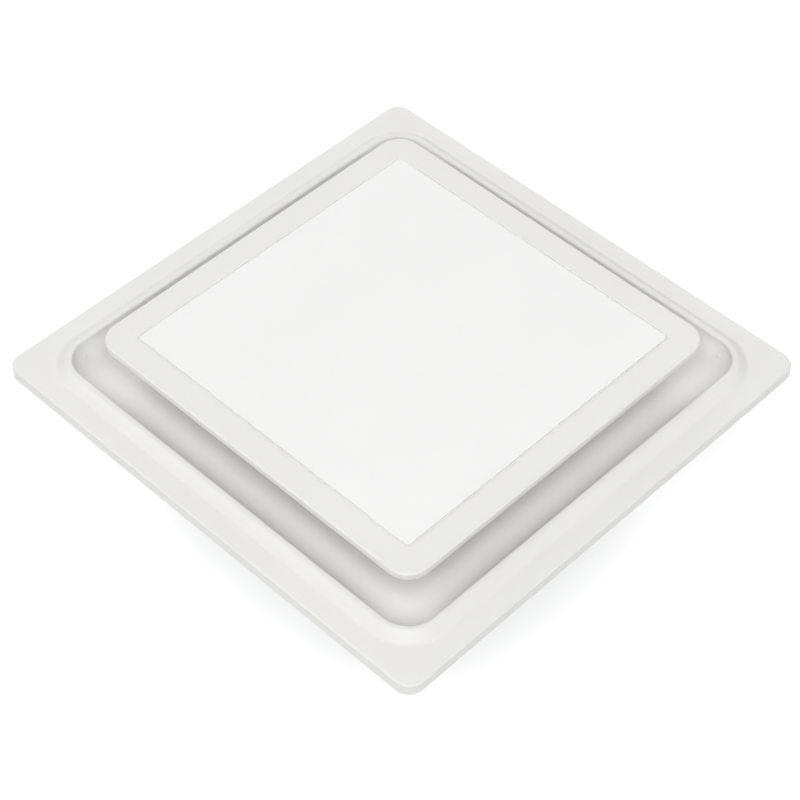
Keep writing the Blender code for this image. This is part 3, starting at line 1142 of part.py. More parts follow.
def build_wiring():
    """The wiring compartment's cover, sockets, plug, capacitor, grommet and the motor's lead."""
    inner_half = WIRING_HALF_LENGTH - WIRING_SHEET
    cover = to_object("wiring_cover", block((WIRING_X, -WIRING_HALF_LENGTH, CASING_BASE),
                                            (HOUSING_INNER - SEAT_GAP, WIRING_HALF_LENGTH, WIRING_TOP)))
    cut(cover, block((WIRING_X + WIRING_SHEET, -inner_half, CASING_BASE - OVERRUN),
                     (HOUSING_INNER + OVERRUN, inner_half, WIRING_TOP - WIRING_SHEET)))
    for y in (-SOCKET_Y, SOCKET_Y):
        hole = socket_block(y, SEAT_GAP, WIRING_TOP - OVERRUN, WIRING_TOP + OVERRUN)
        cut(cover, hole)
    finish(cover, GALVANISED)

    brow_low = WIRING_TOP + SEAT_GAP
    brow_top = brow_low + SOCKET_BROW_THICK
    for name, y in (("fan_socket", -SOCKET_Y), ("light_socket", SOCKET_Y)):
        socket = to_object(name, socket_block(y, 0, WIRING_TOP - SOCKET_DEPTH, brow_top))
        fuse(socket, socket_block(y, SOCKET_BROW, brow_low, brow_top))
        cut(socket, socket_block(y, -SOCKET_WELL_MARGIN, brow_top - SOCKET_WELL_DEPTH, brow_top + OVERRUN))
        finish(socket, BLACK_PLASTIC)

    plug_low = brow_top - SOCKET_WELL_DEPTH + SEAT_GAP
    plug_high = plug_low + FAN_PLUG_HEIGHT
    plug_half_x = SOCKET_HALF_X - SOCKET_WELL_MARGIN - SEAT_GAP
    plug_half_y = SOCKET_HALF_Y - SOCKET_WELL_MARGIN - SEAT_GAP
    plug = prism(rounded_outline(plug_half_x, plug_half_y, PLUG_CORNER), plug_low, plug_high)
    piece("fan_plug", move(plug, (SOCKET_X, -SOCKET_Y, 0)), GREY_PLASTIC)

    cap_x = HOUSING_INNER - SEAT_GAP - CAPACITOR_THICK
    cap_low = HOUSING_WALL + CAPACITOR_LIFT
    capacitor = block((cap_x, CAPACITOR_Y - CAPACITOR_HALF_Y, cap_low),
                      (cap_x + CAPACITOR_THICK, CAPACITOR_Y + CAPACITOR_HALF_Y, cap_low + CAPACITOR_HEIGHT))
    bmesh.ops.bevel(capacitor, geom=capacitor.edges, offset=CAPACITOR_EDGE, segments=2,
                    profile=1 / 2, affect="EDGES")
    piece("run_capacitor", capacitor, GREY_PLASTIC)

    brow_in = -GROMMET_BROW_THICK - SEAT_GAP
    brow_out = HOUSING_WALL + SEAT_GAP
    grommet = turned([
        (GROMMET_BORE, brow_in), (GROMMET_BROW, brow_in), (GROMMET_BROW, -SEAT_GAP),
        (GROMMET_NECK, -SEAT_GAP), (GROMMET_NECK, brow_out), (GROMMET_BROW, brow_out),
        (GROMMET_BROW, brow_out + GROMMET_BROW_THICK), (GROMMET_BORE, brow_out + GROMMET_BROW_THICK),
    ], steps=SMALL_TURN_STEPS)
    grommet = move(point_z_along(grommet, "X"), (HOUSING_INNER, 0, GROMMET_Z))
    piece("wire_grommet", grommet, RUBBER)

    start = (BLOWER_X + MOTOR_LEAD_START_X, BLOWER_Y)
    low = (HOUSING_WALL + CASING_LIFT) / 2
    rise = plug_high + 2 * MOTOR_LEAD_BEND
    wire("motor_lead", smooth_route([
        (*start, CAN_BOTTOM),
        (*start, low),
        (MOTOR_LEAD_RUN_X, BLOWER_Y, low),
        (MOTOR_LEAD_RUN_X, MOTOR_LEAD_CORNER_Y, low),
        (SOCKET_X, MOTOR_LEAD_RISE_Y, low),
        (SOCKET_X, MOTOR_LEAD_RISE_Y, rise),
        (SOCKET_X, -SOCKET_Y, rise),
        (SOCKET_X, -SOCKET_Y, plug_high + SEAT_GAP),
    ], MOTOR_LEAD_BEND / 2), MOTOR_LEAD_RADIUS, LEAD_GREY)


def main():
    """Builds every piece and hangs the moving ones on their joints."""
    clear_scene()
    build_housing()
    build_casing()
    build_inlet_plate()
    build_casing_screws()
    build_wiring()
    build_duct()

    wheel_axis = joint_empty("wheel_axis", BLOWER_AXIS)
    for obj in build_wheel() + build_motor():
        hang_on(obj, wheel_axis)

    grille_slide = joint_empty("grille_slide", (0, 0, CEILING_Z))
    for obj in ([build_grille_frame()] + build_light_panel() + build_led_strips()
                + build_pan_screws() + build_driver() + build_springs()):
        hang_on(obj, grille_slide)


main()
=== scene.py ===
"""Square bathroom ceiling fan with a light panel: its fine shapes, finishes, stage and camera.

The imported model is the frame. It lies face up on its housing's back, in metres, with the duct
towards -X. Pieces that show are modelled finely here and stand for their plain solids. The others
keep their solid's shape and get their finish.
"""
import json
import math

import bmesh
import bpy
from mathutils import Matrix, Vector

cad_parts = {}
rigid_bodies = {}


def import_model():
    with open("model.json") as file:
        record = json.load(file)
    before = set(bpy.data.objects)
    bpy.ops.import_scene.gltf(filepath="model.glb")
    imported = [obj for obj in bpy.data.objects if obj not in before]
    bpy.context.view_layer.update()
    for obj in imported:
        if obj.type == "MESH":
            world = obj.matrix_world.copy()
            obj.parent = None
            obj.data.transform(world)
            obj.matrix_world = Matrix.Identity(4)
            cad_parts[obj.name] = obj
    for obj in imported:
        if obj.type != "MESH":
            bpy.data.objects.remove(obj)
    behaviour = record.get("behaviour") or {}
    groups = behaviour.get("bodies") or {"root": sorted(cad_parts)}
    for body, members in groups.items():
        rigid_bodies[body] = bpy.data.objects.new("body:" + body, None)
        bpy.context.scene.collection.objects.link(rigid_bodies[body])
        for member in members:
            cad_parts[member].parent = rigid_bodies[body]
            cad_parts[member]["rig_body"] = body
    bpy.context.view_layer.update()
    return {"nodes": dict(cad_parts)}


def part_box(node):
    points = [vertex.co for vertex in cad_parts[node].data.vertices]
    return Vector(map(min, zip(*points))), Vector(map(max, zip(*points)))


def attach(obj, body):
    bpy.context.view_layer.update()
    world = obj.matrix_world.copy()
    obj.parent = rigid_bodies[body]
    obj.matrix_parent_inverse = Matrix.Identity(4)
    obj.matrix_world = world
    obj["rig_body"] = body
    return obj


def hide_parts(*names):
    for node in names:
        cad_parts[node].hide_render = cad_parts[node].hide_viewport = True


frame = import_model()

bl_info = {
    "name": "Bathroom fan with light",
    "version": (1, 0, 0),
    "blender": (4, 5, 0),
    "location": "3D View > Sidebar > Fan",
    "description": "Builds the finished surfaces of a square ceiling fan with a light panel",
    "category": "Add Mesh",
}

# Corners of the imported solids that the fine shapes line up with
SHELL_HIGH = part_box("housing_shell")[1]
GRILLE_LOW, GRILLE_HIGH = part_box("grille_frame")
BEZEL_LOW, BEZEL_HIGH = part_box("light_bezel")
LENS_LOW, LENS_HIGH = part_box("diffuser")
PAN_LOW, PAN_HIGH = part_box("light_pan")
DUCT_LOW, DUCT_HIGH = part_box("duct_collar")
PIN_LOW, PIN_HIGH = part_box("damper_pin")
FLAP_LOW, FLAP_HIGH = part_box("damper_flap")
CLIP_LOW, CLIP_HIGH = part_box("spring_clip_rear")
GROMMET_LOW, GROMMET_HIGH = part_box("wire_grommet")
CAN_LOW, CAN_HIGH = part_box("motor_can")
UPPER_LOW, UPPER_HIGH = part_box("motor_bearing_upper")
DUCT_MIDDLE = (DUCT_LOW + DUCT_HIGH) / 2
PIN_MIDDLE = (PIN_LOW + PIN_HIGH) / 2
BLOWER_AXIS = Vector(((CAN_LOW.x + CAN_HIGH.x) / 2, (CAN_LOW.y + CAN_HIGH.y) / 2, 0))
CAN_RADIUS = (CAN_HIGH.x - CAN_LOW.x) / 2

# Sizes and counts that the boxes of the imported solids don't tell
SCREW_BORE = 0.0016
CLIP_HEAD = 0.0050
SHAFT_RADIUS = 0.0025
WHEEL_RADIUS = 0.0540
BLADES = 28
STATOR_TEETH = 8
CHIP_COUNT = 12
CLIP_TEETH = 6
VENTS = 6
GUSSETS = 8
FLAP_RIBS = 5
FLANGE_RIBS = 9
CASE_SLOTS = 9

# The two small round bumps on the trough's wall: where they sit and which way they face
BUMPS = (((-0.1377, -0.1269, 0.1021), (0.48, 0.14, 0.87)),
         ((0.1269, 0.1377, 0.1021), (-0.14, -0.48, 0.87)))

# Parts on the driver's board, in board thicknesses: profiles as (radius, height), and boxes
LARGE_CAN = ((0, 0), (4.0, 0), (4.0, 0.5), (3.8, 0.7), (4.0, 0.9), (4.0, 5.6), (3.7, 5.9),
             (3.3, 5.9), (3.2, 5.8), (0, 5.8))
SMALL_CAN = ((0, 0), (1.6, 0), (1.6, 3.8), (1.4, 4.0), (0, 4.0))
CHOKE_WINDING = ((1.5, 1.25), (4.0, 1.25), (4.3, 1.6), (4.3, 4.2), (4.0, 4.55), (1.5, 4.55))
CHOKE_CORE = (((-5.5, -4.6, 0.3), (5.5, 4.6, 1.2)), ((-5.5, -4.6, 4.6), (5.5, 4.6, 5.5)),
              ((-5.5, -1.4, 0.3), (-4.2, 1.4, 5.5)), ((4.2, -1.4, 0.3), (5.5, 1.4, 5.5)))
BOARD_CHIPS = (((5, 6, 0), (9, 9, 1)), ((10, -9, 0), (13, -5, 1.4)), ((15, 6, 0), (20, 8, 1)),
               ((-20, -8, 0), (-14, -4, 3)), ((-4, -9.5, 0), (0, -7.5, 1)))

# The four corners, as sides along two axes
CORNER_SIDES = ((1, 1), (1, -1), (-1, 1), (-1, -1))

# Shares of other sizes, and one density
HEAD_DISH = ((0, 0.85), (0.35, 0.9), (0.45, 1.1), (0, 1.1))  # of a hexagon head's radius and height
PUNCH_TAPER = 0.45  # a cross recess's tip, of its mouth
WELD_SHARES = (-0.4, 0, 0.4)  # where the welds sit, of their tab's height
WELD_FOOT = 0.55  # a weld's floor, of its radius
KNOCKOUT_SHARE = 0.6  # the depth of a knockout's line, of the sheet
ROUND_SHARE = 0.98  # the corners of the pin's bosses, of their half width
RIB_SINK = 0.95  # where the ribs' heads sit, of the flange's thickness
GROOVE_SLOPE = 1.2  # how much a pressed groove widens, of its depth
SPANGLE_CELLS = 110  # zinc crystals to the metre

# Fits and fineness
SEAT_GAP = 0.0003
WELD_DISTANCE = 0.000001
SHARP_ANGLE = math.radians(32)
CORNER_STEPS = 14
SMALL_CORNER_STEPS = 7
GROOVE_STEPS = 6
EDGE_STEPS = 5
COVE_STEPS = 16
BEND_STEPS = 8
BLADE_STEPS = 7
BUNDLE_STEPS = 16
THREAD_STEPS = 12

# Facets round what is turned, from the thinnest to the widest
FINE_STEPS = 20
HOLE_STEPS = 24
WIRE_STEPS = 28
HEAD_STEPS = 32
CLIP_STEPS = 36
CAN_STEPS = 40
TURN_STEPS = 48
RACE_STEPS = 64
WIDE_STEPS = 96

# Where the lamps stand: degrees round from the camera, and degrees above the horizon
LAMP_PLACES = {"high": (0, 63), "low": (0, 33), "left": (-90, 35), "right": (90, 35), "back": (185, 16)}


def size(name, description, default):
    """A length that a user may change."""
    return bpy.props.FloatProperty(name=name, description=description, default=default,
                                   precision=5, subtype="DISTANCE", unit="LENGTH")


def colour(name, description, default):
    """A colour that a user may change."""
    return bpy.props.FloatVectorProperty(name=name, description=description, default=default,
                                         min=0.0, max=1.0, subtype="COLOR")


def turn(name, description, degrees):
    """An angle that a user may change."""
    return bpy.props.FloatProperty(name=name, description=description,
                                   default=math.radians(degrees), subtype="ANGLE", unit="ROTATION")


def amount(name, description, default):
    """A plain number that a user may change."""
    return bpy.props.FloatProperty(name=name, description=description, default=default)


class StageSettings(bpy.types.PropertyGroup):
    """The camera, the lamps and the floor."""
    azimuth: turn("Azimuth", "Camera's turn round the fan", 43.4)
    elevation: turn("Elevation", "Camera's height above the horizon", 48.23)
    roll: turn("Roll", "Camera's lean about its own line of sight", 1.11)
    distance: size("Distance", "From the camera to what it looks at", 1.308)
    lens: amount("Lens", "Focal length in millimetres on a 36 mm frame", 101.56)
    target: bpy.props.FloatVectorProperty(name="Target", description="Where the camera looks",
                                          default=(0.0191, -0.0222, 0.104), subtype="XYZ")
    floor_half: size("Floor half width", "Half the width of the floor", 8.0)
    floor_colour: colour("Floor colour", "Pale floor", (0.86, 0.86, 0.86))
    sky: amount("Sky", "Strength of the even light all round", 0.15)
    mirrored_sky: amount("Mirrored sky", "Strength of the sky in reflections", 0.45)
    floor_glow: amount("Floor glow", "How much whiter the camera sees the floor", 0.40)
    fade_start: size("Fade start", "Where the floor starts to turn white", 0.35)
    fade_end: size("Fade end", "Where the floor is quite white", 1.50)
    high: amount("High lamp", "Watts of the high soft lamp above the camera", 110.0)
    low: amount("Low lamp", "Watts of the low soft lamp below the camera", 50.5)
    left: amount("Left lamp", "Watts of the soft lamp at the picture's left", 54.0)
    right: amount("Right lamp", "Watts of the soft lamp at the picture's right", 40.0)
    back: amount("Back lamp", "Watts of the low soft lamp behind the fan", 92.0)
    lamp_distance: size("Lamp distance", "From the fan to every lamp", 4.5)
    lamp_width: size("Lamp width", "Side of every square lamp", 3.6)


class GrilleSettings(bpy.types.PropertyGroup):
    """The moulded grille that covers the ceiling's cut-out."""
    corner: size("Corner", "Radius of the outer rim's corners in plan", 0.010)
    rim_height: size("Rim height", "Height of the outer rim", 0.0077)
    rim_edge: size("Rim edge", "Rounding of the rim's upper edge", 0.0010)
    wall: size("Wall", "Thickness of the moulding", 0.0022)
    flange: size("Flange", "Width from the lip to the outer rim", 0.02275)
    lip_corner: size("Lip corner", "Radius of the lip's corners in plan", 0.019)
    lip_rise: size("Lip rise", "Height of the lip above the rim", 0.0052)
    lip_edge: size("Lip edge", "Rounding of the lip's inner edge", 0.0013)
    lip_land: size("Lip land", "Flat strip on top of the lip", 0.0037)
    slope: size("Slope", "Width of the slope up to the lip", 0.0060)
    blend: size("Blend", "Length of the rounding at the slope's head and foot", 0.0016)
    cove_width: size("Cove width", "Width of the round wall down to the trough", 0.016)
    cove_depth: size("Cove depth", "Height of the lip above the trough's floor", 0.0104)
    foot_corner: size("Foot corner", "Radius of the cove's foot in plan", 0.010)
    spigot_half: size("Spigot half", "Half the width of the neck into the housing", 0.096)
    spigot_corner: size("Spigot corner", "Radius of the neck's corners", 0.006)
    spigot_wall: size("Spigot wall", "Thickness of the neck", 0.002)
    post_reach: size("Post reach", "From the middle to the light's posts", 0.103)
    post_radius: size("Post radius", "Radius of the light's posts", 0.0042)
    post_bore: size("Post bore", "Radius of the posts' screw holes", 0.0018)
    rib: size("Rib", "Thickness of the ribs under the flange", 0.0012)
    rib_space: size("Rib space", "From one rib under the flange to the next", 0.030)
    rib_drop: size("Rib drop", "How far the ribs reach down from the flange", 0.0045)
    bump: size("Bump", "Radius of the small bumps on the trough's wall", 0.0011)


class PanelSettings(bpy.types.PropertyGroup):
    """The light panel."""
    corner: size("Corner", "Radius of the bezel's corners in plan", 0.015)
    edge: size("Edge", "Rounding of the bezel's upper edge", 0.0012)
    groove: size("Groove", "Gap between bezel and lens", 0.0013)
    groove_depth: size("Groove depth", "Depth of the groove round the lens", 0.0009)
    window_corner: size("Window corner", "Radius of the lens's corners", 0.0018)
    lens_edge: size("Lens edge", "Rounding of the lens's upper edge", 0.0004)
    ledge_thick: size("Ledge thickness", "Thickness of the ledge under the lens", 0.0026)
    ledge: size("Ledge", "Width of the ledge under the lens", 0.0046)


class FinishSettings(bpy.types.PropertyGroup):
    """The colours of the finishes."""
    white: colour("White plastic", "Grille and bezel", (0.845, 0.84, 0.83))
    opal: colour("Opal lens", "Diffuser", (0.92, 0.92, 0.915))
    zinc: colour("Galvanised steel", "Housing", (0.60, 0.62, 0.63))


class HousingSettings(bpy.types.PropertyGroup):
    """The folded steel box above the ceiling."""
    wall: size("Wall", "Thickness of the sheet", 0.0012)
    corner: size("Corner", "Radius of the upright corners", 0.003)
    base_bend: size("Base bend", "Outer radius of the fold round the back", 0.0020)
    flange_bend: size("Flange bend", "Inner radius of the fold under the flange", 0.0010)
    flange_hole: size("Flange hole", "Radius of the flange's holes", 0.0026)
    hole_side: size("Hole side", "From the middle of a side to its flange holes", 0.060)
    slit: size("Slit", "Width of the slit at each corner of the flange", 0.0006)
    tab: size("Tab", "Width of the tabs that lap round the corners", 0.0105)
    tab_foot: size("Tab foot", "Height of the tabs' lower end", 0.010)
    tab_head: size("Tab head", "Height of the tabs' upper end", 0.084)
    tab_sheet: size("Tab sheet", "How far the tabs stand out", 0.0008)
    weld: size("Weld", "Radius of a spot weld", 0.0023)
    weld_depth: size("Weld depth", "Depth of a spot weld's dimple", 0.0003)
    groove_half: size("Groove half length", "Half the length of the pressed grooves", 0.072)
    groove_width: size("Groove width", "Half the width of the pressed grooves", 0.0042)
    groove_depth: size("Groove depth", "Depth of the pressed grooves", 0.0018)
    groove_low: size("Groove low", "Height of the lower groove", 0.017)
    groove_high: size("Groove high", "Height of the upper groove", 0.079)
    keyhole_side: size("Keyhole side", "From the middle of a side to its keyholes", 0.084)
    keyhole_height: size("Keyhole height", "Height of the keyholes", 0.050)
    keyhole: size("Keyhole", "Radius of a keyhole's round end", 0.0042)
    keyhole_neck: size("Keyhole neck", "Half the width of a keyhole's slot", 0.0021)
    keyhole_slot: size("Keyhole slot", "Length of a keyhole's slot", 0.0095)
    knockout: size("Knockout", "Radius of the knockouts", 0.0105)
    knockout_side: size("Knockout side", "From the wire hole to the knockouts", 0.037)
    knockout_line: size("Knockout line", "Width of the line round a knockout", 0.0007)
    pry_half: size("Pry slot", "Half the length of a knockout's pry slot", 0.0042)
    wire_hole: size("Wire hole", "Radius of the supply wire's hole", 0.0103)


class DuctSettings(bpy.types.PropertyGroup):
    """The duct collar and its damper."""
    radius: size("Radius", "Outer radius of the collar", 0.038)
    wall: size("Wall", "Thickness of the collar", 0.002)
    plate: size("Plate", "Thickness of the square plate", 0.002)
    plate_corner: size("Plate corner", "Radius of the plate's corners", 0.006)
    fillet: size("Fillet", "Rounding between plate and collar", 0.0024)
    bead: size("Bead", "How far the retaining bead stands out", 0.0008)
    bead_width: size("Bead width", "Width of the retaining bead", 0.0030)
    bead_inset: size("Bead inset", "From the collar's end to the bead", 0.0075)
    edge: size("Edge", "Rounding of the collar's end", 0.0006)
    gusset: size("Gusset", "Height of the gussets", 0.010)
    gusset_reach: size("Gusset reach", "How far out on the plate the gussets go", 0.0072)
    gusset_thick: size("Gusset thickness", "Thickness of the gussets", 0.0016)
    screw_reach: size("Screw reach", "From the middle to the plate's screws, each way", 0.0375)
    boss: size("Boss", "Radius of the pin's bosses", 0.0044)
    boss_rise: size("Boss rise", "How far the pin's bosses stand out", 0.0020)
    pin: size("Pin", "Radius of the damper's pin", 0.0010)
    flap: size("Flap", "Thickness of the damper's flap", 0.0012)
    flap_rim: size("Flap rim", "Width of the thick rim round the flap", 0.0030)
    barrel: size("Barrel", "Radius of the flap's barrel", 0.0024)
    barrel_half: size("Barrel half", "Half the length of the flap's barrel", 0.030)
    flap_rib: size("Flap rib", "Half the width of the flap's ribs", 0.0006)
    flap_rib_space: size("Flap rib space", "From one of the flap's ribs to the next", 0.0105)


class SpringSettings(bpy.types.PropertyGroup):
    """The torsion springs that hold the grille up, with their clips and receivers."""
    wire: size("Wire", "Radius of the wire", 0.0010)
    coil: size("Coil", "Radius of the coil's middle line", 0.0050)
    turns: amount("Turns", "Turns of the coil", 2.5)
    pitch: size("Pitch", "From one turn to the next", 0.0026)
    axis_drop: size("Axis drop", "From the ceiling down to the coil's axis", 0.006)
    slot_side: size("Slot side", "From the middle to the leg's slot", 0.018)
    slot_drop: size("Slot drop", "From the coil's axis down to the slots", 0.030)
    leg: size("Leg", "Length of the legs", 0.088)
    hook: size("Hook", "Length of the legs' hooks", 0.005)
    eye_share: amount("Eye", "Share of a turn in each leg's eye", 0.8)
    clip_sheet: size("Clip sheet", "Thickness of the clip's plate", 0.0008)
    clip_corner: size("Clip corner", "Radius of the clip's corners", 0.0015)
    clip_pin: size("Clip pin", "Radius of the pin in the coil", 0.0033)
    clip_head: size("Clip head", "Thickness of the pin's head", 0.0010)
    rivet: size("Rivet", "Radius of the clip's rivets", 0.0013)
    bend: size("Receiver bend", "Rounding of the receiver's edges", 0.0003)


class PanSettings(bpy.types.PropertyGroup):
    """The pan behind the lens, its screws, its light strips and the driver."""
    corner: size("Corner", "Radius of the pan's corners", 0.008)
    wall: size("Wall", "Thickness of the pan", 0.001)
    bend: size("Bend", "Outer radius of the pan's folds", 0.0018)
    hole: size("Hole", "Radius of the screw holes", 0.0018)
    groove_half: size("Groove half length", "Half the length of the pressed grooves", 0.070)
    groove_width: size("Groove width", "Half the width of the pressed grooves", 0.0040)
    groove_depth: size("Groove depth", "Depth of the pressed grooves", 0.0005)
    groove_reach: size("Groove reach", "From the middle to the pressed grooves", 0.080)
    screw: size("Screw", "Radius of the pan screws", 0.0014)
    screw_head: size("Screw head", "Radius of the pan screws' heads", 0.0034)
    screw_rise: size("Screw rise", "Height of the pan screws' heads", 0.0020)
    chip: size("Chip", "Length of a light-emitting chip", 0.0030)
    chip_rise: size("Chip rise", "How far the chips stand off their board", 0.0009)
    case_wall: size("Case wall", "Thickness of the driver's case", 0.0015)
    case_corner: size("Case corner", "Radius of the driver case's corners", 0.003)
    case_bend: size("Case bend", "Rounding of the driver case's foot", 0.0012)
    slot_half: size("Slot half height", "Half the height of the case's slots", 0.0045)
    slot_width: size("Slot width", "Half the width of the case's slots", 0.0008)
    slot_space: size("Slot space", "From one of the case's slots to the next", 0.0060)
    board: size("Board", "Thickness of the driver's board", 0.0016)
    board_lift: size("Board lift", "From the case's floor to the board", 0.0023)
    lead: size("Lead", "Radius of the light's lead", 0.0017)
    lead_reach: size("Lead reach", "How far the lead loops out from the case", 0.020)
    plug_rib: size("Plug rib", "From one rib of a plug to the next", 0.0016)
    plug_groove: size("Plug groove", "Depth between the ribs of a plug", 0.0004)
    plug_corner: size("Plug corner", "Radius of a plug's corners", 0.0010)


class BlowerSettings(bpy.types.PropertyGroup):
    """The wheel, its scroll casing and the casing's lid."""
    wall: size("Wall", "Thickness of the wheel's back", 0.0016)
    ring_width: size("Ring width", "Width of the wheel's upper ring", 0.005)
    ring_height: size("Ring height", "Height of the wheel's upper ring", 0.002)
    blade: size("Blade", "Thickness of a blade", 0.0009)
    blade_depth: size("Blade depth", "From the wheel's eye to its outside", 0.009)
    blade_curve: size("Blade curve", "Radius of a blade's curve", 0.0089)
    blade_sweep: turn("Blade sweep", "How far a blade curves", 75)
    hat_gap: size("Hat gap", "From the motor to the wheel's hat", 0.0022)
    hub: size("Hub", "Radius of the wheel's hub", 0.006)
    hub_rise: size("Hub rise", "Height of the hub above the hat", 0.0075)
    edge: size("Edge", "Rounding of the wheel's edges", 0.0004)
    casing_edge: size("Casing edge", "Rounding of the casing's edges", 0.0003)
    screw: size("Screw", "Radius of the casing's screws", 0.0019)
    screw_head: size("Screw head", "Radius of the casing screws' heads", 0.0045)
    screw_rise: size("Screw rise", "Height of the casing screws' heads", 0.0024)


class MotorSettings(bpy.types.PropertyGroup):
    """The motor inside the wheel."""
    can_wall: size("Can wall", "Thickness of the can", 0.0012)
    can_edge: size("Can edge", "Rounding of the can's upper edge", 0.0030)
    vent: size("Vent", "Radius of the can's cooling holes", 0.0030)
    vent_reach: size("Vent reach", "From the shaft to the cooling holes", 0.0210)
    lamination: size("Lamination", "From one sheet of the core to the next", 0.0010)
    bundle: size("Bundle", "How far each winding bulges over its tooth", 0.0009)
    foot: size("Rivet", "Radius of the end plate's rivets", 0.0020)
    foot_reach: size("Rivet reach", "From the shaft to the end plate's rivets", 0.0376)


class WiringSettings(bpy.types.PropertyGroup):
    """The wiring compartment, its sockets, leads and grommet."""
    cover_edge: size("Cover edge", "Rounding of the cover's folds", 0.0004)
    socket_edge: size("Socket edge", "Rounding of the sockets' edges", 0.0003)
    capacitor_edge: size("Capacitor edge", "Rounding of the capacitor's edges", 0.0005)
    neck: size("Grommet neck", "Radius of the grommet's neck", 0.0100)
    brow: size("Grommet brow", "Radius of the grommet's lips", 0.0130)
    bore: size("Grommet bore", "Radius of the grommet's bore", 0.0050)
    lip: size("Grommet lip", "Thickness of the grommet's lips", 0.0018)
    lead: size("Lead", "Radius of the motor's lead", 0.0016)
    lead_bend: size("Lead bend", "Rounding of the motor lead's corners", 0.0045)
    lead_side: size("Lead side", "From the wiring box to the lead beside it", 0.0042)
    lead_clear: size("Lead clearance", "From the wiring box's end to the lead's corner", 0.0020)


SETTINGS = {
    "fan_stage": StageSettings,
    "fan_grille": GrilleSettings,
    "fan_panel": PanelSettings,
    "fan_finish": FinishSettings,
    "fan_housing": HousingSettings,
    "fan_duct": DuctSettings,
    "fan_springs": SpringSettings,
    "fan_pan": PanSettings,
    "fan_blower": BlowerSettings,
    "fan_motor": MotorSettings,
    "fan_wiring": WiringSettings,
}


def tidy(bm):
    """Welds what touches and turns every face outwards."""
    bmesh.ops.remove_doubles(bm, verts=bm.verts, dist=WELD_DISTANCE)
    bmesh.ops.recalc_face_normals(bm, faces=bm.faces)
    return bm


def arc(start, end, steps=EDGE_STEPS):
    """Angles from one to another, in degrees, both ends included, as radians."""
    return [math.radians(start + (end - start) * step / steps) for step in range(steps + 1)]


def rounding(radius, start=0, end=90, steps=EDGE_STEPS):
    """Points along a rounded edge: how far each stands in and how far it has risen."""
    return [(radius * (1 - math.cos(angle)), radius * math.sin(angle))
            for angle in arc(start, end, steps)]


def evenly(count, space):
    """Places along a line, a space apart, with zero in their middle."""
    return [(number - (count - 1) / 2) * space for number in range(count)]


def rounded_rectangle(half_x, half_y, corner, steps):
    """The plan points of a rectangle with round corners, anticlockwise."""
    points = []
    for quarter, (side_x, side_y) in enumerate(((1, -1), (1, 1), (-1, 1), (-1, -1))):
        for angle in arc(90 * (quarter - 1), 90 * quarter, steps):
            points.append(Vector((side_x * (half_x - corner) + corner * math.cos(angle),
                                  side_y * (half_y - corner) + corner * math.sin(angle), 0)))
    return points


def lofted(rows, closed=True, steps=CORNER_STEPS):
    """Rows of (half x, half y, corner, height) drawn out one from the next, ring after ring."""
    bm = bmesh.new()
    place = bm.verts.layers.int.new("place")
    bmesh.ops.create_circle(bm, segments=4 * (steps + 1), radius=1)
    for number, vert in enumerate(bm.verts):
        vert[place] = number
    ring = first = list(bm.edges)
    verts = list(bm.verts)
    for number, row in enumerate(list(rows) + list(rows[:1] if closed else [])):
        if number:
            grown = bmesh.ops.extrude_edge_only(bm, edges=ring)["geom"]
            verts = [item for item in grown if isinstance(item, bmesh.types.BMVert)]
            fresh = set(verts)
            ring = [item for item in grown if isinstance(item, bmesh.types.BMEdge)
                    and fresh.issuperset(item.verts)]
        half_x, half_y, corner, height = row
        outline = rounded_rectangle(half_x, half_y, corner, steps)
        for vert in verts:
            vert.co = outline[vert[place]] + Vector((0, 0, height))
    if not closed:
        bmesh.ops.contextual_create(bm, geom=first)
        bmesh.ops.contextual_create(bm, geom=ring)
    return tidy(bm)


def square_rows(rows):
    """Rows of (half, corner, height) as rows for a square loft."""
    return [(half, half, corner, height) for half, corner, height in rows]


def inset_rows(half_x, half_y, corner, places):
    """Rows for a loft that stand in from one outline, from pairs of (inset, height)."""
    return [(half_x - inset, half_y - inset, corner - inset, height) for inset, height in places]


def both_ends(face, low, high):
    """A profile whose upper end mirrors its lower one, given as (radius, rise) points."""
    return ([(radius, low + rise) for radius, rise in face]
            + [(radius, high - rise) for radius, rise in reversed(face)])


def turned(profile, steps=TURN_STEPS):
    """A profile of (radius, height) points turned about Z; it closes on itself or on the axis."""
    bm = bmesh.new()
    verts = [bm.verts.new((radius, 0, height)) for radius, height in profile]
    on_axis = profile[0][0] == 0 and profile[-1][0] == 0
    edges = [bm.edges.new(pair) for pair in zip(verts, verts[1:] + ([] if on_axis else verts[:1]))]
    bmesh.ops.spin(bm, geom=verts + edges, cent=(0, 0, 0), axis=(0, 0, 1), angle=math.tau,
                   steps=steps, use_merge=True)
    return tidy(bm)


def as_mesh(bm, name):
    """A mesh made of a shape, which is spent."""
    mesh = bpy.data.meshes.new(name)
    bm.to_mesh(mesh)
    bm.free()
    return mesh


def placed(name, data):
    """A new object in the scene."""
    made = bpy.data.objects.new(name, data)
    bpy.context.scene.collection.objects.link(made)
    return made


def evaluated(passing):
    """The shape of a passing object once its modifier or its bevel is worked out."""
    depsgraph = bpy.context.evaluated_depsgraph_get()
    mesh = bpy.data.meshes.new_from_object(passing.evaluated_get(depsgraph))
    bm = bmesh.new()
    bm.from_mesh(mesh)
    bpy.data.meshes.remove(mesh)
    return bm


def shift(bm, offset):
    """Moves a shape."""
    bmesh.ops.translate(bm, vec=offset, verts=bm.verts)
    return bm


def join(shapes):
    """Several shapes as one mesh's worth of separate shells."""
    whole = bmesh.new()
    for shape in shapes:
        mesh = as_mesh(shape, "part_of_piece")
        whole.from_mesh(mesh)
        bpy.data.meshes.remove(mesh)
    return whole


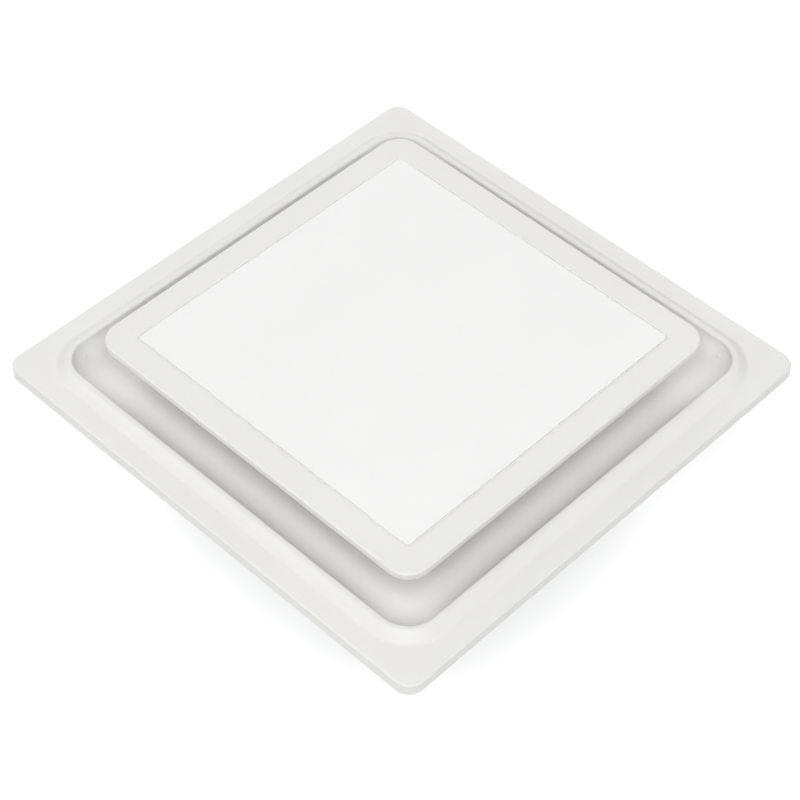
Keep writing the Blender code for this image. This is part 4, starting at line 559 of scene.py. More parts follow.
def block(low, high):
    """A box between two corners."""
    bm = bmesh.new()
    bmesh.ops.create_cube(bm, size=1)
    low, high = Vector(low), Vector(high)
    bmesh.ops.scale(bm, vec=high - low, verts=bm.verts)
    return shift(bm, (low + high) / 2)


def rod(radius, low, high, steps=TURN_STEPS):
    """A round bar on Z."""
    bm = bmesh.new()
    bmesh.ops.create_cone(bm, cap_ends=True, segments=steps, radius1=radius, radius2=radius,
                          depth=high - low)
    return shift(bm, (0, 0, (low + high) / 2))


def aim(bm, outward, middle):
    """Turns a shape's Z along a level direction, with its Y upright, and takes it to a place."""
    across = Vector((0, 0, 1)).cross(Vector(outward))
    frame_turn = Matrix((across, (0, 0, 1), outward)).transposed()
    bmesh.ops.rotate(bm, cent=(0, 0, 0), matrix=frame_turn, verts=bm.verts)
    return shift(bm, middle)


def spun(bm, degrees):
    """Turns a shape about Z."""
    bmesh.ops.rotate(bm, cent=(0, 0, 0), matrix=Matrix.Rotation(math.radians(degrees), 3, "Z"),
                     verts=bm.verts)
    return bm


def around(bm, count, start=0):
    """Copies of a shape at even turns about Z, the first of them turned by so many degrees."""
    copies = [spun(bm.copy(), start + 360 * number / count) for number in range(count)]
    bm.free()
    return copies


def eased(bm, width, segments=2, limit=50):
    """Rounds every edge of a shape that is sharper than a limit in degrees."""
    tidy(bm)
    bmesh.ops.dissolve_limit(bm, angle_limit=math.radians(1), verts=bm.verts, edges=bm.edges)
    sharp = [edge for edge in bm.edges if len(edge.link_faces) == 2
             and edge.calc_face_angle() > math.radians(limit)]
    bmesh.ops.bevel(bm, geom=sharp, offset=width, offset_type="OFFSET", segments=segments,
                    profile=0.5, affect="EDGES", material=-1, clamp_overlap=True)
    return tidy(bm)


def packed_shape(node):
    """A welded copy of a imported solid."""
    bm = bmesh.new()
    bm.from_mesh(frame["nodes"][node].data)
    return tidy(bm)


def combine(bm, operation, tools):
    """A shape joined to others by UNION, or with them cut out by DIFFERENCE."""
    base, tool = [placed("scratch", as_mesh(shape, "scratch")) for shape in (bm, join(tools))]
    modifier = base.modifiers.new("combine", "BOOLEAN")
    modifier.operation = operation
    modifier.solver = "EXACT"
    modifier.use_self = True
    modifier.object = tool
    result = evaluated(base)
    for passing in (base, tool):
        spent = passing.data
        bpy.data.objects.remove(passing, do_unlink=True)
        bpy.data.meshes.remove(spent)
    return tidy(result)


def tube(points, radius, resolution=3):
    """A round wire or lead along points, with closed ends."""
    curve = bpy.data.curves.new("route", "CURVE")
    curve.dimensions = "3D"
    curve.bevel_depth = radius
    curve.bevel_resolution = resolution
    curve.use_fill_caps = True
    spline = curve.splines.new("POLY")
    spline.points.add(len(points) - 1)
    for place, point in zip(spline.points, points):
        place.co = (*point, 1)
    passing = placed("route", curve)
    bm = evaluated(passing)
    bpy.data.objects.remove(passing, do_unlink=True)
    bpy.data.curves.remove(curve)
    return tidy(bm)


def smooth_route(corners, reach, steps=BEND_STEPS):
    """Points along a route whose corners are rounded by quadratic curves."""
    corners = [Vector(corner) for corner in corners]
    points = [corners[0]]
    for before, corner, after in zip(corners, corners[1:], corners[2:]):
        start = corner + (before - corner).normalized() * reach
        end = corner + (after - corner).normalized() * reach
        points += bend(start, corner, end, steps)
    points.append(corners[-1])
    return points


def tray(half_x, half_y, corner, low, high, wall, fold):
    """An open-topped box with round corners and a rounded foot."""
    lip = wall / 4
    inner = max(fold - wall, lip)
    places = [(inset, low + fold - rise) for inset, rise in rounding(fold, 90, 0)]
    places += [(0, high - lip), (lip, high), (wall - lip, high), (wall, high - lip)]
    places += [(wall + inset, low + wall + inner - rise) for inset, rise in rounding(inner)]
    return lofted(inset_rows(half_x, half_y, corner, places), closed=False, steps=SMALL_CORNER_STEPS)


def pillow(half_x, half_y, corner, low, high, edge, steps=SMALL_CORNER_STEPS):
    """A flat block with round corners, its upper edge eased."""
    places = [(0, low)] + [(inset, high - edge + rise) for inset, rise in rounding(edge)]
    return lofted(inset_rows(half_x, half_y, corner, places), closed=False, steps=steps)


def pressed_groove(half_x, half_y, depth, outward, middle, above=0.0):
    """The punch for an oblong groove with sloping sides, from a depth below to above a face."""
    rows = inset_rows(half_x, half_y, half_y - depth / 8,
                      [(-GROOVE_SLOPE * level, level) for level in (-depth, above or depth)])
    return aim(lofted(rows, closed=False, steps=SMALL_CORNER_STEPS), outward, middle)


def button(radius, low, rim, shoulder, top, steps=HOLE_STEPS, crown=0.7):
    """A low dome: the heights of its foot, rim, shoulder and top, and its crown as a share."""
    return turned([(0, low), (radius, low), (radius, rim), (radius * crown, shoulder), (0, top)], steps)


def thread(radius, low, high, pitch):
    """The ridge of a screw's thread, wound round a shank."""
    bm = bmesh.new()
    root, crest = radius - pitch / 8, radius + pitch / 4
    ridge = bm.faces.new([bm.verts.new(point) for point in (
        (root, 0, low), (crest, 0, low + pitch / 4), (root, 0, low + pitch / 2))])
    turns = (high - low) / pitch - 1
    bmesh.ops.spin(bm, geom=list(ridge.verts) + list(ridge.edges) + [ridge], cent=(0, 0, 0),
                   axis=(0, 0, 1), dvec=(0, 0, pitch / THREAD_STEPS), angle=math.tau * turns,
                   steps=round(turns * THREAD_STEPS), use_merge=False)
    return tidy(bm)


def cross_punch(width, reach, depth):
    """A cross-shaped punch, narrower at its tip, that sinks a depth below Z zero."""
    half = width / 2
    bm = block((-half, -half, -depth), (half, half, depth))
    bm.normal_update()
    sides = [face for face in bm.faces if abs(face.normal.z) < 0.5]
    for face in bmesh.ops.extrude_discrete_faces(bm, faces=sides)["faces"]:
        outward = face.calc_center_median()
        outward.z = 0
        bmesh.ops.translate(bm, vec=outward.normalized() * (reach - half), verts=face.verts)
    tip = [vert for vert in bm.verts if vert.co.z < 0]
    bmesh.ops.scale(bm, vec=(PUNCH_TAPER, PUNCH_TAPER, 1), verts=tip)
    return tidy(bm)


def pan_head_screw(shank, length, head, rise):
    """A cross-recess screw whose head stands on Z zero."""
    neck, tip, pitch = shank * 1.1, shank * 0.45, shank * 0.8
    rim, brim = rise / 8, rise / 4
    recess_width, recess_reach, recess_depth = head * 0.26, head * 0.62, rise * 0.55
    dome = [(0, -shank / 2), (neck, -shank / 2), (neck, 0), (head - rim, 0), (head, rim)]
    dome += [(head * math.cos(angle), brim + (rise - brim) * math.sin(angle))
             for angle in arc(0, 90, EDGE_STEPS + 3)]
    recess = shift(cross_punch(recess_width, recess_reach, recess_depth), (0, 0, rise))
    cone = -length + 2 * shank
    point = turned([(0, -length), (tip, -length), (shank, cone), (shank, 0), (0, 0)], FINE_STEPS)
    return join([combine(turned(dome, HEAD_STEPS), "DIFFERENCE", [recess]), point,
                 thread(shank, cone, -shank / 2, pitch)])


def hex_screw(shank, length, head, rise):
    """A screw with a hexagon head and its own washer, which stands on Z zero."""
    edge, pitch = rise / 10, shank * 0.7
    washer_land, washer_top = head * 0.8, rise * 0.35
    hexagon_half, hexagon_foot = head * 0.72, rise * 0.3
    washer = turned([(0, 0), (head - edge, 0), (head, edge), (head, 2 * edge),
                     (washer_land, washer_top), (0, washer_top)], HEAD_STEPS)
    dish = turned([(head * across, rise * up) for across, up in HEAD_DISH], HOLE_STEPS)
    hexagon = combine(eased(rod(hexagon_half, hexagon_foot, rise, 6), edge), "DIFFERENCE", [dish])
    return join([washer, hexagon, rod(shank, -length, rise / 5, FINE_STEPS),
                 thread(shank, -length, 0, pitch)])


def ribbed_plug(half_x, half_y, corner, length, sizes):
    """A plug's body along Z, its rear half ribbed for the fingers."""
    edge = sizes.plug_groove
    outer = (half_x, half_y, corner)
    inner = (half_x - edge, half_y - edge, corner - edge / 2)
    rows = [(*inner, 0), (*outer, edge)]
    place = 2 * edge
    while place < length / 2:
        valley = place + sizes.plug_rib / 2
        rows += [(*outer, place), (*inner, place + edge / 2), (*inner, valley),
                 (*outer, valley + edge / 2)]
        place += sizes.plug_rib
    rows += [(*outer, length - edge), (*inner, length)]
    return lofted(rows, closed=False, steps=SMALL_CORNER_STEPS)


def add_piece(name, bm, slot, *nodes, body=""):
    """Makes a finished piece of a shape, standing for the nodes it is given and on their body."""
    mesh = as_mesh(bm, name)
    piece = placed(name, mesh)
    mesh.materials.append(FINISHES[slot])
    mesh.shade_smooth()
    mesh.set_sharp_from_angle(angle=SHARP_ANGLE)
    even = piece.modifiers.new("even_shading", "WEIGHTED_NORMAL")
    even.keep_sharp = True
    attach(piece, body or frame["nodes"][nodes[0]]["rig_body"])
    if nodes:
        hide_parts(*nodes)


def add_eased(name, slot, node, width, *limits):
    """Makes a piece with its node's own shape, whose sharp edges are rounded."""
    add_piece(name, eased(packed_shape(node), width, *limits), slot, node)


def add_screw(name, node, make, sizes, seat=None):
    """Makes a screw over its node's middle, from the node's foot up to a seat and its head."""
    low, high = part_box(node)
    seat = seat or high.z - sizes.screw_rise
    middle = (low + high) / 2
    screw = make(sizes.screw, seat - low.z, sizes.screw_head, sizes.screw_rise)
    add_piece(name, shift(screw, (middle.x, middle.y, seat)), "bright_steel", node)


def between(tree, value, low, high, start=0.0, end=1.0):
    """A value laid between two levels; the low one or the high one may be another node's result."""
    span = tree.nodes.new("ShaderNodeMapRange")
    span.inputs["From Min"].default_value = start
    span.inputs["From Max"].default_value = end
    tree.links.new(value, span.inputs["Value"])
    for level, name in ((low, "To Min"), (high, "To Max")):
        if isinstance(level, bpy.types.NodeSocket):
            tree.links.new(level, span.inputs[name])
        else:
            span.inputs[name].default_value = level
    return span.outputs["Result"]


class Finish:
    """A procedural material on Object coordinates, built up from small steps."""

    def __init__(self, name, base, roughness, metallic=0.0, **sockets):
        self.material = bpy.data.materials.new(name)
        self.material.use_nodes = True
        self.tree = self.material.node_tree
        self.shader = self.tree.nodes["Principled BSDF"]
        self.base = base
        self.set("Base Color", (*base, 1))
        self.set("Roughness", roughness)
        self.set("Metallic", metallic)
        for socket, value in sockets.items():
            self.set(socket.replace("_", " "), value)
        self.coordinates = self.tree.nodes.new("ShaderNodeTexCoord").outputs["Object"]

    def set(self, socket, value):
        self.shader.inputs[socket].default_value = value

    def stretched(self, scale):
        """Object coordinates, drawn out along an axis."""
        mapping = self.tree.nodes.new("ShaderNodeMapping")
        mapping.inputs["Scale"].default_value = scale
        self.tree.links.new(self.coordinates, mapping.inputs["Vector"])
        return mapping.outputs["Vector"]

    def pattern(self, kind, output, vector=None, **inputs):
        """One result of a texture node that lies on the piece."""
        texture = self.tree.nodes.new(kind)
        for name, value in inputs.items():
            texture.inputs[name].default_value = value
        self.tree.links.new(vector or self.coordinates, texture.inputs["Vector"])
        return texture.outputs[output]

    def noise(self, scale, detail=2.0, vector=None):
        """A soft random pattern; the scale is in features to the metre."""
        return self.pattern("ShaderNodeTexNoise", "Fac", vector, Scale=scale, Detail=detail)

    def cells(self, scale, output="Distance", randomness=1.0):
        """A pattern of cells; the scale is in cells to the metre."""
        return self.pattern("ShaderNodeTexVoronoi", output, Scale=scale, Randomness=randomness)

    def tint(self, pattern, other, start=0.0, end=1.0):
        """Shades the base colour into another along a pattern."""
        mix = self.tree.nodes.new("ShaderNodeMix")
        mix.data_type = "RGBA"
        colours = [socket for socket in mix.inputs if socket.type == "RGBA"]
        before = self.shader.inputs["Base Color"]
        if before.is_linked:
            self.tree.links.new(before.links[0].from_socket, colours[0])
        else:
            colours[0].default_value = (*self.base, 1)
        colours[1].default_value = (*other, 1)
        self.tree.links.new(between(self.tree, pattern, 0.0, 1.0, start, end), mix.inputs[0])
        result = next(socket for socket in mix.outputs if socket.type == "RGBA")
        self.tree.links.new(result, before)
        return self

    def rough(self, pattern, low, high, start=0.3, end=0.7):
        """Lets the gloss vary along a pattern."""
        self.tree.links.new(between(self.tree, pattern, low, high, start, end),
                            self.shader.inputs["Roughness"])
        return self

    def relief(self, pattern, depth):
        """Raises the surface along a pattern, by a depth in metres."""
        bump = self.tree.nodes.new("ShaderNodeBump")
        bump.inputs["Distance"].default_value = depth
        before = self.shader.inputs["Normal"]
        if before.is_linked:
            self.tree.links.new(before.links[0].from_socket, bump.inputs["Normal"])
        self.tree.links.new(pattern, bump.inputs["Height"])
        self.tree.links.new(bump.outputs["Normal"], before)
        return self


def shade(base, share):
    """A colour made darker or lighter by a share."""
    return tuple(min(1.0, part * share) for part in base)


def moulded_plastic(name, base, roughness, depth=0.00001):
    """Satin plastic with the fine grain of its mould and slight unevenness of colour and gloss."""
    finish = Finish(name, base, roughness)
    finish.tint(finish.noise(14, detail=3), shade(base, 0.975), start=0.35, end=0.75)
    finish.rough(finish.noise(60, detail=3), roughness - 0.04, roughness + 0.05)
    finish.relief(finish.noise(2600), depth)
    return finish.material


def plated_steel(name, base, roughness, spangle=0.0):
    """Zinc-coated sheet: crystals that differ in tone and gloss, with fine rolling marks."""
    finish = Finish(name, base, roughness, 1.0)
    if spangle:
        tone = finish.cells(SPANGLE_CELLS, "Color")
        finish.tint(tone, shade(base, 1 - spangle), start=0.2, end=0.9)
        finish.rough(tone, roughness - 0.08, roughness + 0.12, start=0.2, end=0.9)
        finish.relief(finish.cells(SPANGLE_CELLS), 0.00002)
    else:
        finish.rough(finish.noise(300, detail=3), roughness - 0.06, roughness + 0.10)
    finish.tint(finish.noise(25, detail=4), shade(base, 0.82), start=0.45, end=0.85)
    finish.relief(finish.noise(900, 3, finish.stretched((1, 1, 12))), 0.000008)
    return finish.material


def drawn_metal(name, base, roughness, scale, depth=0.00001):
    """Bare metal with fine lines along one direction."""
    finish = Finish(name, base, roughness, 1.0)
    lines = finish.noise(120, 4, finish.stretched(scale))
    finish.tint(lines, shade(base, 0.8), start=0.35, end=0.8)
    finish.rough(lines, roughness - 0.05, roughness + 0.12)
    finish.relief(lines, depth)
    return finish.material


def enamelled_sheet(name, base, roughness):
    """White enamel on sheet metal, with a faint orange peel and thinner paint here and there."""
    finish = Finish(name, base, roughness)
    finish.tint(finish.noise(30, detail=4), shade(base, 0.95), start=0.4, end=0.8)
    finish.rough(finish.noise(45, detail=3), roughness - 0.05, roughness + 0.08)
    finish.relief(finish.noise(700), 0.00002)
    return finish.material


class FAN_OT_finishes(bpy.types.Operator):
    """Make every finish and put it on the solids"""
    bl_idname = "fan.finishes"
    bl_label = "Finishes"

    def execute(self, context):
        FINISHES.update(make_finishes(context.scene.fan_finish))
        for node, finish in NODE_FINISHES.items():
            solid = frame["nodes"][node]
            solid.data.materials.clear()
            solid.data.materials.append(FINISHES[finish])
        return {"FINISHED"}


FINISHES = {}

# Every solid's finish, also where a piece stands for it
NODE_FINISHES = {
    "housing_shell": "galvanised_steel", "scroll_casing": "black_plastic",
    "scroll_inlet_plate": "black_plastic", "casing_screw_1": "bright_steel",
    "casing_screw_2": "bright_steel", "casing_screw_3": "bright_steel",
    "wiring_cover": "galvanised_steel", "fan_socket": "black_plastic",
    "light_socket": "black_plastic", "fan_plug": "grey_plastic", "run_capacitor": "grey_plastic",
    "wire_grommet": "rubber", "motor_lead": "lead_grey", "motor_end_plate": "galvanised_steel",
    "motor_can": "galvanised_steel", "stator_core": "core_steel",
    "stator_winding_upper": "copper", "stator_winding_lower": "copper",
    "motor_bearing_lower": "bright_steel", "motor_bearing_upper": "bright_steel",
    "duct_collar": "black_plastic", "damper_pin": "bright_steel",
    "spring_receiver_front": "galvanised_steel", "spring_receiver_rear": "galvanised_steel",
    "blower_wheel": "grey_plastic", "wheel_clip": "bright_steel", "motor_shaft": "bright_steel",
    "rotor": "core_steel", "damper_flap": "grey_plastic", "grille_frame": "white_plastic",
    "light_bezel": "white_plastic", "diffuser": "opal_diffuser", "light_guide": "clear_acrylic",
    "reflector_sheet": "white_sheet", "backing_foam": "foam", "light_pan": "aluminium",
    "led_strip_right": "white_sheet", "led_strip_left": "white_sheet",
    "pan_screw_1": "bright_steel", "pan_screw_2": "bright_steel", "pan_screw_3": "bright_steel",
    "pan_screw_4": "bright_steel", "driver_case": "grey_plastic", "driver_board": "circuit_board",
    "light_lead": "lead_grey", "light_plug": "grey_plastic", "plug_clip": "white_plastic",
    "spring_coil_front": "spring_steel", "spring_coil_rear": "spring_steel",
    "spring_clip_front": "galvanised_steel", "spring_clip_rear": "galvanised_steel",
    "spring_leg_front_right": "spring_steel", "spring_leg_front_left": "spring_steel",
    "spring_leg_rear_right": "spring_steel", "spring_leg_rear_left": "spring_steel",
}


def make_finishes(colours):
    """Every finish by the name of its slot."""
    made = {
        "white_plastic": moulded_plastic("white_plastic_satin", colours.white, 0.38),
        "opal_diffuser": moulded_plastic("opal_lens_satin", colours.opal, 0.45, 0.000004),
        "galvanised_steel": plated_steel("galvanised_spangle", colours.zinc, 0.42, spangle=0.16),
        "bright_steel": plated_steel("zinc_plated_steel", (0.62, 0.62, 0.63), 0.26),
        "spring_steel": drawn_metal("drawn_spring_wire", (0.45, 0.45, 0.46), 0.30, (30, 30, 1)),
        "aluminium": enamelled_sheet("enamelled_aluminium", (0.80, 0.80, 0.79), 0.34),
        "core_steel": drawn_metal("core_laminations", (0.20, 0.21, 0.23), 0.48, (1, 1, 60), 0.00004),
        "copper": drawn_metal("copper_windings", (0.60, 0.25, 0.11), 0.33, (1, 1, 30), 0.00010),
        "black_plastic": moulded_plastic("black_casing_plastic", (0.03, 0.03, 0.03), 0.48, 0.00003),
        "grey_plastic": moulded_plastic("grey_fan_plastic", (0.22, 0.22, 0.23), 0.46, 0.00002),
        "lead_grey": moulded_plastic("grey_lead_jacket", (0.14, 0.14, 0.15), 0.52, 0.00002),
        "rubber": moulded_plastic("black_rubber", (0.02, 0.02, 0.02), 0.75, 0.00004),
        "white_sheet": moulded_plastic("reflector_white", (0.92, 0.92, 0.92), 0.5, 0.000004),
    }
    foam = Finish("grey_foam_cells", (0.30, 0.30, 0.31), 0.95)
    cells = foam.cells(900)
    foam.tint(cells, (0.16, 0.16, 0.17), start=0.2, end=0.6).relief(cells, 0.0003)
    made["foam"] = foam.material

    board = Finish("board_green_mask", (0.06, 0.22, 0.11), 0.42)
    tracks = board.cells(260, randomness=0.6)
    board.tint(tracks, (0.03, 0.13, 0.06), start=0.42, end=0.5).relief(tracks, 0.00003)
    made["circuit_board"] = board.material

    acrylic = Finish("acrylic_guide_dots", (0.94, 0.96, 0.97), 0.06, Transmission_Weight=0.9, IOR=1.49)
    acrylic.rough(acrylic.cells(420, randomness=0.0), 0.65, 0.05, start=0.20, end=0.28)
    made["clear_acrylic"] = acrylic.material
    return made


class FAN_OT_grille(bpy.types.Operator):
    """Mould the grille: rim, lip, trough, neck, posts and ribs"""
    bl_idname = "fan.grille"
    bl_label = "Grille"

    def execute(self, context):
        sizes = context.scene.fan_grille
        shapes = [lofted(square_rows(grille_rows(sizes)))]
        floor_top, post_top = grille_heights(sizes)[2], PAN_LOW.z - SEAT_GAP
        bore, radius, edge, wall = sizes.post_bore, sizes.post_radius, sizes.rim_edge, sizes.wall
        for side_x, side_y in CORNER_SIDES:
            post = turned([
                (0, floor_top + wall), (bore, floor_top + wall), (bore, post_top - edge / 2),
                (bore + edge / 2, post_top), (radius - edge / 2, post_top),
                (radius, post_top - edge / 2), (radius, floor_top + edge),
                (radius + edge, floor_top), (radius, floor_top - wall / 2),
                (0, floor_top - wall / 2)], HOLE_STEPS)
            shapes.append(shift(post, (side_x * sizes.post_reach, side_y * sizes.post_reach, 0)))
        for place, way in BUMPS:
            bump = button(sizes.bump, -sizes.bump / 2, 0, sizes.bump * 0.45, sizes.bump * 0.6,
                          crown=0.8)
            lean = Vector(way).to_track_quat("Z", "Y").to_matrix()
            bmesh.ops.rotate(bump, cent=(0, 0, 0), matrix=lean, verts=bump.verts)
            shapes.append(shift(bump, place))
        shapes += self.ribs(sizes)
        add_piece("grille_moulding", join(shapes), "white_plastic", "grille_frame")
        return {"FINISHED"}

    def ribs(self, sizes):
        """The short ribs that stiffen the flange from beneath."""
        rib_head = grille_heights(sizes)[0] - sizes.wall * RIB_SINK
        half = GRILLE_HIGH.x
        inner = half - sizes.flange - sizes.lip_land
        row = [block((inner, along - sizes.rib / 2, rib_head - sizes.rib_drop),
                     (half - sizes.wall / 2, along + sizes.rib / 2, rib_head))
               for along in evenly(FLANGE_RIBS, sizes.rib_space)]
        return around(join(row), 4)


def grille_heights(sizes):
    """The heights of the rim's top, the lip's top and the trough's floor."""
    rim_top = SHELL_HIGH.z + SEAT_GAP + sizes.rim_height
    lip_top = rim_top + sizes.lip_rise
    return rim_top, lip_top, lip_top - sizes.cove_depth


def bend(before, corner, after, steps=EDGE_STEPS):
    """A quadratic round from one section point to another, drawn towards a corner."""
    rows = []
    for step in range(steps + 1):
        share = step / steps
        first = before.lerp(corner, share)
        rows.append(first.lerp(corner.lerp(after, share), share))
    return rows


def grille_rows(sizes):
    """The grille's section, up its outer side, across its face and back underneath."""
    half, seat, wall = GRILLE_HIGH.x, SHELL_HIGH.z + SEAT_GAP, sizes.wall
    rim_top, lip_top, floor_top = grille_heights(sizes)
    lip_half, lip_wall_top = half - sizes.flange, lip_top - sizes.lip_edge
    slope_head = lip_half + sizes.lip_land
    slope_foot = slope_head + sizes.slope
    foot_half = lip_half - sizes.cove_width
    growth, cove_height = sizes.lip_corner - sizes.foot_corner, lip_wall_top - floor_top

    def beside_lip(reach, height):
        """A row whose corners run level with the lip's."""
        return reach, sizes.lip_corner + reach - lip_half, height

    def cove(angles, out=0.0):
        """Rows round the wall down to the trough, or a distance out behind it."""
        return [(foot_half + (sizes.cove_width + out) * math.cos(angle),
                 sizes.foot_corner + (growth + out) * math.cos(angle),
                 lip_wall_top - (cove_height + out) * math.sin(angle)) for angle in angles]

    rows = [(half, sizes.corner, seat)]
    rows += [(half - inset, sizes.corner - inset, rim_top - sizes.rim_edge + rise)
             for inset, rise in rounding(sizes.rim_edge)]
    foot, head = Vector((slope_foot, rim_top)), Vector((slope_head, lip_top))
    up, flat = (head - foot).normalized() * sizes.blend, Vector((sizes.blend, 0))
    rows += [beside_lip(*place) for place in bend(foot + flat, foot, foot + up)
             + bend(head - up, head, head - flat)]
    rows += [beside_lip(lip_half + inset, lip_wall_top + rise)
             for inset, rise in rounding(sizes.lip_edge, 90, 0)]
    rows += cove(arc(0, 90, COVE_STEPS)[1:])
    inner, inner_corner = sizes.spigot_half - sizes.spigot_wall, sizes.spigot_corner - sizes.spigot_wall
    rows += [(inner, inner_corner, floor_top), (inner, inner_corner, GRILLE_LOW.z),
             (sizes.spigot_half, sizes.spigot_corner, GRILLE_LOW.z),
             (sizes.spigot_half, sizes.spigot_corner, floor_top - wall)]
    rows += cove(arc(90, 10, COVE_STEPS // 2), wall)
    rows += [beside_lip(slope_head - sizes.rim_edge / 2, lip_top - wall),
             beside_lip(slope_foot - wall / 2, rim_top - wall),
             (half - wall, sizes.corner - wall, rim_top - wall),
             (half - wall, sizes.corner - wall, seat)]
    return rows


class FAN_OT_light_panel(bpy.types.Operator):
    """Mould the light panel's bezel and its opal lens"""
    bl_idname = "fan.light_panel"
    bl_label = "Light panel"

    def execute(self, context):
        sizes = context.scene.fan_panel
        low, high, half = BEZEL_LOW.z, BEZEL_HIGH.z, BEZEL_HIGH.x
        edge, window, groove_floor = sizes.edge, LENS_HIGH.x, high - sizes.groove_depth
        opening, opening_corner = window + sizes.groove, sizes.window_corner + sizes.groove
        ledge, ledge_top = window - sizes.ledge, low + sizes.ledge_thick
        step, slit = sizes.groove / 4, SEAT_GAP / 4
        outside = [(edge / 2, low), (0, low + edge / 2)]
        outside += [(inset, high - edge + rise) for inset, rise in rounding(edge)]
        inside = [(opening + step, opening_corner + step, high),
                  (opening, opening_corner, high - step),
                  (opening, opening_corner, groove_floor),
                  (window + slit, sizes.window_corner + slit, groove_floor),
                  (window + slit, sizes.window_corner + slit, ledge_top),
                  (ledge, sizes.window_corner, ledge_top),
                  (ledge, sizes.window_corner, low)]
        bezel = lofted(inset_rows(half, half, sizes.corner, outside) + square_rows(inside))
        add_piece("bezel_moulding", bezel, "white_plastic", "light_bezel")
        lens = pillow(window, window, sizes.window_corner, LENS_LOW.z, LENS_HIGH.z, sizes.lens_edge,
                      CORNER_STEPS)
        add_piece("opal_lens", lens, "opal_diffuser", "diffuser")
        return {"FINISHED"}


def housing_rows(sizes, half):
    """The housing's section, up its outside, over the flange and down its inside."""
    top, reach, wall, corner = SHELL_HIGH.z, SHELL_HIGH.x, sizes.wall, sizes.corner
    fold, under, edge = sizes.base_bend, sizes.flange_bend, wall / 4
    inner_fold, over = fold - wall, under + wall
    outside = [(inset, fold - rise) for inset, rise in rounding(fold, 90, 0)]
    outside += [(-grow, top - over + rise) for grow, rise in rounding(under)]
    rim = [(reach - edge, corner, top - wall), (reach, corner, top - wall + edge),
           (reach, corner, top - edge), (reach - edge, corner, top)]
    inside = [(-grow, top - over + rise) for grow, rise in rounding(over, 90, 0)]
    inside += [(inset, wall + inner_fold - rise) for inset, rise in rounding(inner_fold)]
    return (inset_rows(half, half, corner, outside) + square_rows(rim)
            + inset_rows(half - wall, half - wall, corner - wall, inside))


